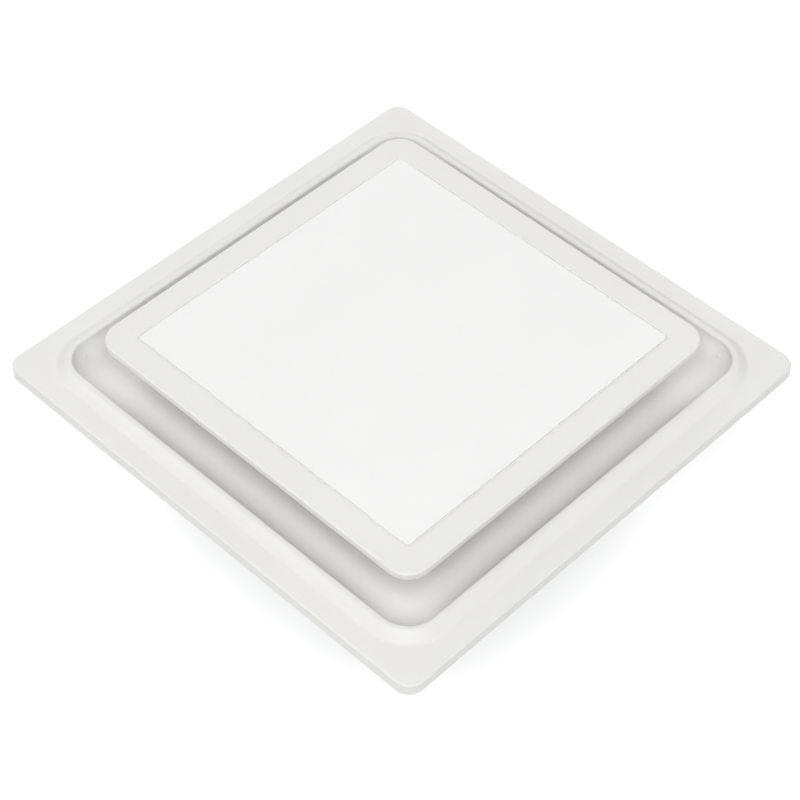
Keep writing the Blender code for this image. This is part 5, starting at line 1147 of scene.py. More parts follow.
class FAN_OT_housing(bpy.types.Operator):
    """Fold the steel housing with its flange, tabs, grooves, knockouts and holes"""
    bl_idname = "fan.housing"
    bl_label = "Housing"

    def execute(self, context):
        sizes, duct = context.scene.fan_housing, context.scene.fan_duct
        half, wall = -DUCT_HIGH.x - SEAT_GAP, sizes.wall
        sheet, dimple = sizes.tab_sheet, sizes.weld_depth
        tab_height, tab_side = sizes.tab_head - sizes.tab_foot, half - sizes.corner - sizes.tab / 2
        tab_middle = sizes.tab_foot + tab_height / 2
        tabs, cuts = [], []
        for way, side in CORNER_SIDES:
            tab = pillow(sizes.tab / 2, tab_height / 2, sheet, -sheet / 2, sheet, sheet / 2)
            tabs.append(aim(tab, (way, 0, 0), (way * half, side * tab_side, tab_middle)))
            for share in WELD_SHARES:
                weld = turned([(0, -dimple), (sizes.weld * WELD_FOOT, -dimple), (sizes.weld, dimple),
                               (0, dimple)], HOLE_STEPS)
                cuts.append(aim(weld, (way, 0, 0), (way * (half + sheet), side * tab_side,
                                                    tab_middle + share * tab_height)))
        for way in (1, -1):
            for height in (sizes.groove_low, sizes.groove_high):
                tabs.append(pressed_groove(sizes.groove_half + wall, sizes.groove_width + wall,
                                           sizes.groove_depth, (0, way, 0),
                                           (0, way * (half - wall), height), wall / 2))
        shell = combine(lofted(housing_rows(sizes, half), closed=False), "UNION", tabs)
        cuts += self.wall_cuts(sizes, half) + self.flange_cuts(sizes, half)
        openings = [(duct.radius, WIDE_STEPS, DUCT_MIDDLE.y, DUCT_MIDDLE.z)]
        openings += [(SCREW_BORE, FINE_STEPS, y, z) for y, z in plate_screw_places(duct)]
        cuts += [aim(rod(radius, -2 * wall, 2 * wall, steps), (-1, 0, 0), (-half, y, z))
                 for radius, steps, y, z in openings]
        add_piece("housing_pressing", combine(shell, "DIFFERENCE", cuts), "galvanised_steel",
                  "housing_shell")
        return {"FINISHED"}

    def wall_cuts(self, sizes, half):
        """Grooves and keyholes in the two joist sides, and knockouts round the wire hole."""
        deep, shallow, line = 2 * sizes.wall, sizes.wall * KNOCKOUT_SHARE, sizes.knockout_line
        neck, slot = sizes.keyhole_neck, sizes.keyhole_slot
        cuts = []
        for way in (1, -1):
            for height in (sizes.groove_low, sizes.groove_high):
                cuts.append(pressed_groove(sizes.groove_half, sizes.groove_width, sizes.groove_depth,
                                           (0, way, 0), (0, way * half, height)))
            for side in (1, -1):
                place = (side * sizes.keyhole_side, way * half, sizes.keyhole_height)
                hole = [block((-neck, -slot, -deep), (neck, 0, deep)),
                        shift(rod(neck, -deep, deep, HOLE_STEPS), (0, -slot, 0)),
                        rod(sizes.keyhole, -deep, deep, HEAD_STEPS)]
                cuts += [aim(part, (0, way, 0), place) for part in hole]
        wire_height = (GROMMET_LOW.z + GROMMET_HIGH.z) / 2
        cuts.append(aim(rod(sizes.wire_hole, -deep, deep), (1, 0, 0), (half, 0, wire_height)))
        for side in (1, -1):
            ring = turned(both_ends([(sizes.knockout - line, 0), (sizes.knockout, 0)],
                                    -shallow, shallow))
            pry = block((-sizes.pry_half, -line, -shallow), (sizes.pry_half, line, shallow))
            place = (half, side * sizes.knockout_side, wire_height)
            cuts += [aim(part, (1, 0, 0), place) for part in (ring, pry)]
        return cuts

    def flange_cuts(self, sizes, half):
        """The flange's screw holes and the slits where its four sides meet."""
        low, high, reach = SHELL_HIGH.z - 2 * sizes.wall, SHELL_HIGH.z + sizes.wall, SHELL_HIGH.x
        start = math.sqrt(2) * (half + sizes.flange_bend / 2)
        slit = block((start, -sizes.slit / 2, low), (math.sqrt(2) * reach, sizes.slit / 2, high))
        holes = [shift(rod(sizes.flange_hole, low, high, HOLE_STEPS),
                       ((half + reach) / 2, side * sizes.hole_side, 0)) for side in (1, -1)]
        return around(join(holes), 4) + around(slit, 4, 45)


def plate_screw_places(sizes):
    """The y and z of the screws through the duct's plate."""
    return [(DUCT_MIDDLE.y + side_y * sizes.screw_reach, DUCT_MIDDLE.z + side_z * sizes.screw_reach)
            for side_y, side_z in CORNER_SIDES]


class FAN_OT_duct(bpy.types.Operator):
    """Mould the duct collar and its damper, with the pin and the plate's screws"""
    bl_idname = "fan.duct"
    bl_label = "Duct"

    def execute(self, context):
        sizes = context.scene.fan_duct
        pin_up, pin_out = PIN_MIDDLE.z - DUCT_MIDDLE.z, DUCT_HIGH.x - PIN_MIDDLE.x
        add_piece("duct_moulding", aim(self.collar(sizes, pin_up, pin_out), (-1, 0, 0),
                                       (DUCT_HIGH.x, DUCT_MIDDLE.y, DUCT_MIDDLE.z)),
                  "black_plastic", "duct_collar")
        shank, head, rise = SCREW_BORE - SEAT_GAP, 2 * SCREW_BORE, SCREW_BORE * 1.1
        seat = DUCT_HIGH.x - sizes.plate - SEAT_GAP / 4
        screws = [aim(hex_screw(shank, 3 * sizes.plate, head, rise), (-1, 0, 0), (seat, y, z))
                  for y, z in plate_screw_places(sizes)]
        add_piece("duct_plate_screws", join(screws), "bright_steel", body="housing")

        pin_half, edge = (PIN_HIGH.y - PIN_LOW.y) / 2, sizes.pin / 4
        pin = turned(both_ends([(0, 0), (sizes.pin - edge, 0), (sizes.pin, edge)],
                               -pin_half, pin_half), HOLE_STEPS)
        add_piece("damper_hinge_pin", aim(pin, (0, 1, 0), PIN_MIDDLE), "bright_steel", "damper_pin")
        add_piece("damper_blade", aim(self.flap(sizes, pin_up), (-1, 0, 0),
                                      (PIN_MIDDLE.x, DUCT_MIDDLE.y, DUCT_MIDDLE.z)),
                  "grey_plastic", "damper_flap")
        return {"FINISHED"}

    def collar(self, sizes, pin_up, pin_out):
        """The collar along Z: plate, tube, retaining bead, gussets and pin bosses."""
        half_y, half_z = (DUCT_HIGH.y - DUCT_LOW.y) / 2, (DUCT_HIGH.z - DUCT_LOW.z) / 2
        end = DUCT_HIGH.x - DUCT_LOW.x
        radius, plate, edge, fillet = sizes.radius, sizes.plate, sizes.edge, sizes.fillet
        profile = [(0, plate / 4), (radius + fillet, plate / 4)]
        profile += [(radius + fillet - rise, plate + inset) for inset, rise in rounding(fillet)]
        profile += [(radius + sizes.bead * math.sin(angle),
                     end - sizes.bead_inset - sizes.bead_width / 2 * math.cos(angle))
                    for angle in arc(0, 180, 2 * EDGE_STEPS)]
        profile += [(radius - inset, end - edge + rise) for inset, rise in rounding(edge)]
        parts = [turned(profile + [(0, end)], WIDE_STEPS)]
        rib = block((radius - sizes.wall / 2, -sizes.gusset_thick / 2, plate / 2),
                    (radius + sizes.gusset_reach, sizes.gusset_thick / 2, plate + sizes.gusset))
        outer = [vert for vert in rib.verts if vert.co.x > radius and vert.co.z > plate]
        bmesh.ops.translate(rib, vec=(0, 0, edge - sizes.gusset), verts=outer)
        parts += around(rib, GUSSETS, 180 / GUSSETS)
        reach = radius + sizes.boss_rise
        boss = pillow(sizes.boss, sizes.boss, sizes.boss * ROUND_SHARE, -reach, reach, edge)
        parts.append(aim(boss, (1, 0, 0), (0, pin_up, pin_out)))
        base = pillow(half_y, half_z, sizes.plate_corner, 0, plate, edge)
        for part in parts:
            base = combine(base, "UNION", [part])
        bore, mouth, past = radius - sizes.wall, radius - sizes.wall + edge, end + plate
        cuts = [turned([(0, -plate), (mouth, -plate), (mouth, 0), (bore, edge), (bore, end - edge),
                        (mouth, end), (mouth, past), (0, past)], WIDE_STEPS)]
        cuts += [shift(rod(SCREW_BORE, -plate, 2 * plate, FINE_STEPS),
                       (side_y * sizes.screw_reach, side_z * sizes.screw_reach, 0))
                 for side_y, side_z in CORNER_SIDES]
        base = combine(base, "DIFFERENCE", cuts)
        pin_reach = (PIN_HIGH.y - PIN_LOW.y) / 2 + SEAT_GAP
        pin_hole = rod(sizes.pin + SEAT_GAP, -pin_reach, pin_reach, HOLE_STEPS)
        return combine(base, "DIFFERENCE", [aim(pin_hole, (1, 0, 0), (0, pin_up, pin_out))])

    def flap(self, sizes, pin_up):
        """The flap facing Z: a disc with a thick rim, ribs and the barrel for its pin."""
        half, radius = sizes.flap / 2, (FLAP_HIGH.y - FLAP_LOW.y) / 2
        inner = radius - sizes.flap_rim
        shape = turned(both_ends([(0, half), (inner, half), (inner + half, 0), (radius - half, 0),
                                  (radius, half)], -2 * half, 2 * half), WIDE_STEPS)
        ribs = []
        for across in evenly(FLAP_RIBS, sizes.flap_rib_space):
            length = math.sqrt((inner + half) ** 2 - across ** 2)
            ribs.append(block((across - sizes.flap_rib, -length, 0),
                              (across + sizes.flap_rib, length, 2 * half)))
        barrel = rod(sizes.barrel, -sizes.barrel_half, sizes.barrel_half, HEAD_STEPS)
        shape = combine(shape, "UNION", ribs)
        shape = combine(shape, "UNION", [aim(barrel, (1, 0, 0), (0, pin_up, 0))])
        bore = rod(sizes.pin + SEAT_GAP, -2 * radius, 2 * radius, HOLE_STEPS)
        return combine(shape, "DIFFERENCE", [aim(bore, (1, 0, 0), (0, pin_up, 0))])


def facing(bm, side):
    """Turns a rear shape round to the front where the side is -1."""
    return bm if side > 0 else spun(bm, 180)


class FAN_OT_springs(bpy.types.Operator):
    """Wind the torsion springs and press their clips and receivers"""
    bl_idname = "fan.springs"
    bl_label = "Springs"

    def execute(self, context):
        sizes = context.scene.fan_springs
        axis_z = SHELL_HIGH.z - sizes.axis_drop
        pack = sizes.turns / 2 * sizes.pitch
        half_pack = pack + sizes.pitch
        clip_face = CLIP_HIGH.y
        middle = clip_face - sizes.clip_sheet - SEAT_GAP - sizes.wire - half_pack
        steps = round(sizes.turns * WIRE_STEPS)
        for word, side in (("front", -1), ("rear", 1)):
            helix = [(sizes.coil * math.cos(angle), side * middle + pack * (2 * step / steps - 1),
                      axis_z + sizes.coil * math.sin(angle))
                     for step, angle in enumerate(arc(0, 360 * sizes.turns, steps))]
            add_piece("coil_" + word, tube(helix, sizes.wire), "spring_steel", "spring_coil_" + word)
            outer, inner = side * (middle + half_pack), side * (middle - half_pack)
            for hand, sign, plane in (("right", 1, outer), ("left", -1, inner)):
                route = [(sign * x, plane, axis_z + z) for x, z in self.leg_route(sizes)]
                add_piece("wire_leg_%s_%s" % (word, hand), tube(route, sizes.wire), "spring_steel",
                          "spring_leg_%s_%s" % (word, hand))
            clip = self.clip(sizes, clip_face, axis_z, middle - half_pack - sizes.wire - SEAT_GAP)
            add_piece("clip_" + word, facing(clip, side), "galvanised_steel", "spring_clip_" + word)
            add_eased("receiver_" + word, "galvanised_steel", "spring_receiver_" + word, sizes.bend)
        return {"FINISHED"}

    def leg_route(self, sizes):
        """One leg's wire in the (x, z) plane: an open eye, a straight run and a round hook."""
        reach = math.hypot(sizes.slot_side, sizes.slot_drop)
        angle = math.acos(sizes.coil / reach) - math.atan2(sizes.slot_drop, sizes.slot_side)
        outward = Vector((math.cos(angle), math.sin(angle)))
        down = Vector((math.sin(angle), -math.cos(angle)))
        eye = math.degrees(angle) + 360 * sizes.eye_share
        points = [sizes.coil * Vector((math.cos(turn_by), math.sin(turn_by)))
                  for turn_by in arc(eye, math.degrees(angle), WIRE_STEPS)]
        end = sizes.coil * outward + sizes.leg * down
        points += bend(end - sizes.hook / 2 * down, end, end + sizes.hook / 2 * outward, BEND_STEPS)
        points.append(end + sizes.hook * outward)
        return points

    def clip(self, sizes, face, axis_z, head):
        """The rear clip: a plate with round corners, two rivets and the coil's pin."""
        half_x, half_z = (CLIP_HIGH.x - CLIP_LOW.x) / 2, (CLIP_HIGH.z - CLIP_LOW.z) / 2
        sheet, pin, edge, reach = sizes.clip_sheet, sizes.clip_pin, sizes.clip_sheet / 4, face - head
        top = reach + sizes.clip_head
        parts = [pillow(half_x, half_z, sizes.clip_corner, 0, sheet, sheet / 3),
                 turned([(0, sheet / 2), (pin + sheet, sheet / 2), (pin + sheet, sheet),
                         (pin, 2 * sheet), (pin, reach), (CLIP_HEAD - edge, reach),
                         (CLIP_HEAD, reach + edge), (CLIP_HEAD, top - edge),
                         (CLIP_HEAD - edge, top), (0, top)], HEAD_STEPS)]
        for side in (1, -1):
            rivet = button(sizes.rivet, sheet / 2, sheet, sheet * 1.6, sheet * 1.8, FINE_STEPS)
            parts.append(shift(rivet, (side * (half_x - 2 * sizes.rivet), 0, 0)))
        return aim(join(parts), (0, -1, 0), (0, face, axis_z))


class FAN_OT_pan(bpy.types.Operator):
    """Press the pan and make its screws and light strips"""
    bl_idname = "fan.pan"
    bl_label = "Pan"

    def execute(self, context):
        sizes = context.scene.fan_pan
        reach = context.scene.fan_grille.post_reach
        half, low, depth = PAN_HIGH.x, PAN_LOW.z, sizes.groove_depth
        pan = tray(half, half, sizes.corner, low, PAN_HIGH.z, sizes.wall, sizes.bend)
        deep, slope = 2 * sizes.wall, 2 * depth
        cuts = around(shift(rod(sizes.hole, low - deep, low + deep, HOLE_STEPS), (reach, reach, 0)), 4)
        for side in (1, -1):
            rows = inset_rows(sizes.groove_width, sizes.groove_half, sizes.groove_width - depth,
                              [(-slope, low - depth), (slope, low + depth)])
            groove = lofted(rows, closed=False, steps=GROOVE_STEPS)
            cuts.append(shift(groove, (side * sizes.groove_reach, 0, 0)))
        add_piece("pan_pressing", combine(pan, "DIFFERENCE", cuts), "aluminium", "light_pan")
        for number in range(1, 5):
            add_screw("pan_fixing_%d" % number, "pan_screw_%d" % number, pan_head_screw, sizes,
                      low + sizes.wall + SEAT_GAP)
        for word, side in (("right", 1), ("left", -1)):
            self.strip(word, side, sizes)
        return {"FINISHED"}

    def strip(self, word, side, sizes):
        """One narrow board with its row of chips and the small resistors between them."""
        low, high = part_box("led_strip_right")
        chip, face, rise = sizes.chip, low.x + sizes.chip_rise, sizes.chip_rise
        space, z = (high.y - low.y) / CHIP_COUNT, high.z - sizes.chip / 2

        def on_face(height, y, half_y, half_z, edge):
            """A flat part that stands off the board's face."""
            return eased(block((face - height, y - half_y, z - half_z),
                               (face, y + half_y, z + half_z)), edge, 1)

        parts = [eased(block((face, low.y, low.z), high), rise / 8)]
        for number in range(CHIP_COUNT):
            y = low.y + (number + 1 / 2) * space
            parts.append(on_face(rise, y, chip / 2, chip / 3, rise / 6))
            if number < CHIP_COUNT - 1:
                parts.append(on_face(rise / 2, y + space / 2, chip / 4, chip / 8, rise / 10))
        add_piece("light_strip_" + word, facing(join(parts), side), "white_sheet", "led_strip_" + word)


class FAN_OT_driver(bpy.types.Operator):
    """Make the light's driver with its board, lead, plug and clip"""
    bl_idname = "fan.driver"
    bl_label = "Driver"

    def execute(self, context):
        sizes = context.scene.fan_pan
        low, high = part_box("driver_case")
        middle, height = (low + high) / 2, (high.z - low.z) / 2
        half_x, half_y = (high.x - low.x) / 2, (high.y - low.y) / 2
        case = tray(half_x, half_y, sizes.case_corner, 0, 2 * height, sizes.case_wall, sizes.case_bend)
        cuts = [block((x - sizes.slot_width, -2 * half_y, height - sizes.slot_half),
                      (x + sizes.slot_width, 2 * half_y, height + sizes.slot_half))
                for x in evenly(CASE_SLOTS, sizes.slot_space)]
        lead_hole = rod(sizes.lead + SEAT_GAP, -sizes.case_corner, sizes.case_corner, HOLE_STEPS)
        cuts.append(aim(lead_hole, (1, 0, 0), (-half_x, 0, height)))
        case = combine(case, "DIFFERENCE", cuts)
        add_piece("driver_housing", shift(case, (middle.x, middle.y, low.z)), "grey_plastic", "driver_case")
        self.board(sizes, Vector((middle.x, middle.y, low.z + sizes.case_wall)))

        lead_z, loop_x = low.z + height, low.x - sizes.lead_reach
        plug_low, plug_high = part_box("light_plug")
        plug_y, length = (plug_low.y + plug_high.y) / 2, plug_high.x - plug_low.x
        route = smooth_route([(low.x + sizes.case_wall, middle.y, lead_z), (loop_x, middle.y, lead_z),
                              (loop_x, plug_y, lead_z), (plug_low.x - SEAT_GAP, plug_y, lead_z)],
                             sizes.lead_reach / 2)
        add_piece("light_cable", tube(route, sizes.lead), "lead_grey", "light_lead")
        plug = ribbed_plug((plug_high.y - plug_low.y) / 2, (plug_high.z - plug_low.z) / 2,
                           sizes.plug_corner, length, sizes)
        pin = sizes.lead / 2
        pins = [block((x - pin, -pin, length - 2 * sizes.plug_rib), (x + pin, pin, length + pin))
                for x in evenly(3, 2 * sizes.lead)]
        plug = combine(plug, "DIFFERENCE", pins)
        add_piece("light_connector", aim(plug, (1, 0, 0), (plug_low.x, plug_y, lead_z)), "grey_plastic",
                  "light_plug")
        add_eased("connector_clip", "white_plastic", "plug_clip", SEAT_GAP)
        return {"FINISHED"}

    def board(self, sizes, place):
        """The driver's board and what stands on it."""
        low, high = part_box("driver_board")
        half_x, half_y = (high.x - low.x) / 2, (high.y - low.y) / 2
        thick, deck = sizes.board, sizes.board_lift
        shapes = [pillow(half_x, half_y, thick / 2, deck, deck + thick, thick / 8)]
        shapes += [block((x - thick, -thick, SEAT_GAP), (x + thick, thick, deck + thick / 4))
                   for x in (half_x / 2, -half_x / 2)]
        add_piece("driver_circuit_board", shift(join(shapes), place), "circuit_board", "driver_board")
        top = place + Vector((0, 0, deck + thick))

        def round_part(profile, steps, x, y=0):
            """A turned part on the board."""
            sized = [(radius * thick, height * thick) for radius, height in profile]
            return shift(turned(sized, steps), top + Vector((x, y, 0)))

        def square_parts(boxes, edge, x=0):
            """Square parts on the board."""
            return [shift(eased(block(*(Vector(corner) * thick for corner in corners)), edge),
                          top + Vector((x, 0, 0))) for corners in boxes]

        cans = [round_part(LARGE_CAN, CAN_STEPS, half_x / 2),
                round_part(SMALL_CAN, WIRE_STEPS, 3 * thick - half_x, 5 * thick)]
        add_piece("driver_capacitors", join(cans), "black_plastic", body="grille")
        parts = square_parts(CHOKE_CORE, thick / 8, -half_x / 3) + square_parts(BOARD_CHIPS, thick / 10)
        add_piece("driver_parts", join(parts), "core_steel", body="grille")
        wound = round_part(CHOKE_WINDING, CAN_STEPS, -half_x / 3)
        add_piece("driver_choke_winding", wound, "copper", body="grille")


def over_axis(bm, height):
    """Takes a shape to the blower's axis, at a height."""
    return shift(bm, (BLOWER_AXIS.x, BLOWER_AXIS.y, height))


class FAN_OT_blower(bpy.types.Operator):
    """Mould the blower wheel, its casing, lid and screws"""
    bl_idname = "fan.blower"
    bl_label = "Blower"

    def execute(self, context):
        sizes = context.scene.fan_blower
        add_piece("squirrel_cage_wheel", over_axis(self.wheel(sizes), 0), "grey_plastic", "blower_wheel")
        low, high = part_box("wheel_clip")
        thick, bore, outer = high.z - low.z, SHAFT_RADIUS + SEAT_GAP, (high.x - low.x) / 2
        ring = turned(both_ends([(bore, 0), (outer - thick / 4, 0), (outer, thick / 4)], 0, thick),
                      CLIP_STEPS)
        tooth = bore + 1.6 * thick
        teeth = around(block((bore - thick, -thick / 3, -thick), (tooth, thick / 3, 2 * thick)),
                       CLIP_TEETH)
        add_piece("push_on_clip", over_axis(combine(ring, "DIFFERENCE", teeth), low.z), "bright_steel",
                  "wheel_clip")
        add_eased("scroll_housing", "black_plastic", "scroll_casing", sizes.casing_edge)
        add_eased("bell_mouth_lid", "black_plastic", "scroll_inlet_plate", sizes.casing_edge, 2, 60)
        for number in range(1, 4):
            add_screw("casing_fixing_%d" % number, "casing_screw_%d" % number, hex_screw, sizes)
        return {"FINISHED"}

    def wheel(self, sizes):
        """The hat-shaped back, the curved blades and the upper ring."""
        low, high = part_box("blower_wheel")
        edge, wall, gap, hub, outside = sizes.edge, sizes.wall, sizes.hat_gap, sizes.hub, WHEEL_RADIUS
        hat_inner, floor = CAN_RADIUS + gap, CAN_HIGH.z + gap
        hat, bore = floor + wall, SHAFT_RADIUS + SEAT_GAP
        hub_top = hat + sizes.hub_rise
        back = turned([
            (outside, low.z + edge), (outside, low.z + wall - edge), (outside - edge, low.z + wall),
            (hat_inner + 2 * wall, low.z + wall), (hat_inner + wall, low.z + 2 * wall),
            (hat_inner + wall, hat - wall), (hat_inner + wall / 2, hat - wall / 4), (hat_inner, hat),
            (hub + wall, hat), (hub, hat + wall), (hub, hub_top - edge), (hub - edge, hub_top),
            (bore + edge, hub_top), (bore, hub_top - edge), (bore, floor), (hat_inner - edge, floor),
            (hat_inner, floor - edge), (hat_inner, low.z + edge), (hat_inner + edge, low.z),
            (outside - edge, low.z)], WIDE_STEPS)
        ring_out = outside + sizes.blade
        ring_in, ring_low = ring_out - sizes.ring_width, high.z - sizes.ring_height
        ring = turned(both_ends([(ring_in, edge), (ring_in + edge, 0), (ring_out - edge, 0),
                                 (ring_out, edge)], ring_low, high.z), WIDE_STEPS)
        blade_low, blade_high = low.z + wall / 2, ring_low + sizes.ring_height / 2
        upright = Matrix(((0, 0, 1), (1, 0, 0), (0, 1, 0)))
        blade = bmesh.new()
        bmesh.ops.create_grid(blade, x_segments=1, y_segments=1, size=0.5)
        bmesh.ops.scale(blade, vec=(sizes.blade, blade_high - blade_low, 1), verts=blade.verts)
        bmesh.ops.rotate(blade, cent=(0, 0, 0), matrix=upright, verts=blade.verts)
        geometry = list(blade.verts) + list(blade.edges) + list(blade.faces)
        bmesh.ops.spin(blade, geom=geometry, cent=(0, sizes.blade_curve, 0), axis=(0, 0, 1),
                       angle=sizes.blade_sweep, steps=BLADE_STEPS, use_merge=False)
        shift(blade, (outside - sizes.blade_depth, 0, (blade_low + blade_high) / 2))
        return join([back, ring] + around(tidy(blade), BLADES))


class FAN_OT_motor(bpy.types.Operator):
    """Make the motor: can, end plate, core, windings, rotor, shaft and bearings"""
    bl_idname = "fan.motor"
    bl_label = "Motor"

    def execute(self, context):
        sizes = context.scene.fan_motor
        low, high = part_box("motor_can")
        wall, edge, top = sizes.can_wall, sizes.can_edge, high.z
        bore = (UPPER_HIGH.x - UPPER_LOW.x) / 2 + SEAT_GAP
        profile = [(CAN_RADIUS, low.z)]
        profile += [(CAN_RADIUS - inset, top - edge + rise)
                    for inset, rise in rounding(edge, steps=2 * EDGE_STEPS)]
        profile += [(bore, top), (bore, top - wall)]
        profile += [(CAN_RADIUS - wall - inset, top - edge + rise)
                    for inset, rise in rounding(edge - wall, 90, 0, 2 * EDGE_STEPS)]
        profile.append((CAN_RADIUS - wall, low.z))
        vent = shift(rod(sizes.vent, top - 3 * wall, top + wall, HOLE_STEPS), (sizes.vent_reach, 0, 0))
        can = combine(turned(profile, WIDE_STEPS), "DIFFERENCE", around(vent, VENTS))
        add_piece("motor_shell", over_axis(can, 0), "galvanised_steel", "motor_can")
        self.end_plate(sizes)
        add_eased("stator_stack", "core_steel", "stator_core", sizes.lamination / 5)
        for word in ("lower", "upper"):
            self.winding(word, sizes)
            self.bearing(word)
        self.turning()
        return {"FINISHED"}

    def end_plate(self, sizes):
        """The plate that carries the motor, with its lead hole and rivets."""
        plate = eased(packed_shape("motor_end_plate"), sizes.can_wall / 5)
        top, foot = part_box("motor_end_plate")[1].z, sizes.foot
        rivet = button(foot, -SEAT_GAP, foot / 4, foot * 0.6, foot * 0.75)
        rivets = around(shift(rivet, (sizes.foot_reach, 0, top)), 4, 45)
        add_piece("motor_mount_plate", join([plate, over_axis(join(rivets), 0)]), "galvanised_steel",
                  "motor_end_plate")

    def winding(self, word, sizes):
        """One ring of coil ends, bulging over each tooth."""
        low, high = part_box("stator_winding_" + word)
        radii = [math.hypot(vert.co.x - BLOWER_AXIS.x, vert.co.y - BLOWER_AXIS.y)
                 for vert in frame["nodes"]["stator_winding_" + word].data.vertices]
        inner, outer = min(radii), max(radii)
        middle, reach, half = (outer + inner) / 2, (outer - inner) / 2, (high.z - low.z) / 2
        ring = turned([(middle + reach * math.cos(angle), half * math.sin(angle))
                       for angle in arc(0, 360, BUNDLE_STEPS)[:-1]], WIDE_STEPS)
        for vert in ring.verts:
            angle = math.atan2(vert.co.y, vert.co.x)
            pinch = (1 - math.cos(STATOR_TEETH * angle)) / 2 * sizes.bundle / half
            across = Vector((vert.co.x, vert.co.y, 0)).normalized() * middle
            vert.co = across + (vert.co - across) * (1 - pinch)
        add_piece("coil_ends_" + word, over_axis(ring, (low.z + high.z) / 2), "copper",
                  "stator_winding_" + word)

    def bearing(self, word):
        """One ball bearing: outer race, shield and inner race."""
        low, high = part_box("motor_bearing_" + word)
        outer, height, inner = (high.x - low.x) / 2, high.z - low.z, SHAFT_RADIUS + SEAT_GAP
        step = (outer - inner) / 5
        dip = step / 4
        face = [(inner, dip), (inner + dip, 0), (inner + step, 0), (inner + step + dip, dip),
                (outer - step - dip, dip), (outer - step, 0), (outer - dip, 0), (outer, dip)]
        bearing = over_axis(turned(both_ends(face, 0, height), RACE_STEPS), low.z)
        add_piece("ball_bearing_" + word, bearing, "bright_steel", "motor_bearing_" + word)

    def turning(self):
        """The shaft, and the rotor with its end rings."""
        low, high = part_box("motor_shaft")
        radius, height = SHAFT_RADIUS, high.z - low.z
        edge = radius / 8
        groove = height - 2 * edge
        shaft = turned([(0, 0), (radius - 2 * edge, 0), (radius, 2 * edge), (radius, groove - 2 * edge),
                        (radius - edge / 2, groove - edge), (radius, groove), (radius, height - edge),
                        (radius - edge, height), (0, height)], CAN_STEPS)
        add_piece("motor_spindle", over_axis(shaft, low.z), "bright_steel", "motor_shaft")
        low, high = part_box("rotor")
        outer, height = (high.x - low.x) / 2, high.z - low.z
        ring = height / 8
        face = [(radius + SEAT_GAP, 0), (outer - 2 * edge, 0), (outer - edge, edge),
                (outer - edge, ring - edge), (outer, ring)]
        rotor = over_axis(turned(both_ends(face, 0, height), WIDE_STEPS), low.z)
        add_piece("cage_rotor", rotor, "core_steel", "rotor")


class FAN_OT_wiring(bpy.types.Operator):
    """Make the wiring compartment, its sockets, plug, capacitor, grommet and lead"""
    bl_idname = "fan.wiring"
    bl_label = "Wiring"

    def execute(self, context):
        sizes, pan = context.scene.fan_wiring, context.scene.fan_pan
        add_eased("wiring_box_cover", "galvanised_steel", "wiring_cover", sizes.cover_edge)
        for word in ("fan", "light"):
            add_eased(word + "_outlet", "black_plastic", word + "_socket", sizes.socket_edge)
        low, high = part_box("fan_plug")
        plug = ribbed_plug((high.x - low.x) / 2, (high.y - low.y) / 2, pan.plug_corner, high.z - low.z, pan)
        bmesh.ops.rotate(plug, cent=(0, 0, 0), matrix=Matrix.Rotation(math.pi, 3, "X"), verts=plug.verts)
        middle = (low + high) / 2
        top = Vector((middle.x, middle.y, high.z))
        add_piece("fan_connector", shift(plug, top), "grey_plastic", "fan_plug")
        add_eased("motor_capacitor", "grey_plastic", "run_capacitor", sizes.capacitor_edge, 2, 20)
        self.grommet(sizes)
        self.lead(sizes, top)
        return {"FINISHED"}

    def grommet(self, sizes):
        """The rubber grommet along Z, with round lips and a round throat."""
        length, lip, radius = GROMMET_HIGH.x - GROMMET_LOW.x, sizes.lip, sizes.lip / 2
        brow = rounding(radius, -90, 90, 2 * EDGE_STEPS)
        profile = [(sizes.brow - inset, radius + rise) for inset, rise in brow]
        profile += [(sizes.neck, lip), (sizes.neck, length - lip)]
        profile += [(sizes.brow - inset, length - radius + rise) for inset, rise in brow]
        profile += [(sizes.bore + lip + lip * math.cos(angle), length / 2 + length / 2 * math.sin(angle))
                    for angle in arc(90, 270, 4 * EDGE_STEPS)]
        grommet = aim(turned(profile, RACE_STEPS), (1, 0, 0),
                      (GROMMET_LOW.x, 0, (GROMMET_LOW.z + GROMMET_HIGH.z) / 2))
        add_piece("supply_grommet", grommet, "rubber", "wire_grommet")

    def lead(self, sizes, plug_top):
        """The motor's lead, from the end plate round the wiring box and into its plug."""
        low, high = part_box("motor_lead")
        radius, start_y = sizes.lead, BLOWER_AXIS.y
        end_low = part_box("motor_end_plate")[1].z + SEAT_GAP
        start_x, rise_y = low.x + radius, low.y + radius
        run_z, rise_z = low.z + radius, high.z - radius
        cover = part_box("wiring_cover")[0]
        run_x, corner_y = cover.x - sizes.lead_side, cover.y - sizes.lead_clear
        route = smooth_route([(start_x, start_y, end_low), (start_x, start_y, run_z),
                              (run_x, start_y, run_z), (run_x, corner_y, run_z),
                              (plug_top.x, rise_y, run_z), (plug_top.x, rise_y, rise_z),
                              (plug_top.x, plug_top.y, rise_z),
                              (plug_top.x, plug_top.y, plug_top.z + SEAT_GAP)], sizes.lead_bend * 2 / 3)
        add_piece("motor_cable", tube(route, radius), "lead_grey", "motor_lead")


def way_to(azimuth, elevation):
    """The direction from the fan towards a turn round it and a height above the horizon."""
    return Vector((math.sin(azimuth) * math.cos(elevation),
                   -math.cos(azimuth) * math.cos(elevation), math.sin(elevation)))


def view_axes(settings):
    """The camera's right, up and back directions."""
    azimuth, roll = settings.azimuth, settings.roll
    back = way_to(azimuth, settings.elevation)
    right = Vector((math.cos(azimuth), math.sin(azimuth), 0))
    up = back.cross(right)
    return (math.cos(roll) * right + math.sin(roll) * up,
            math.cos(roll) * up - math.sin(roll) * right, back)


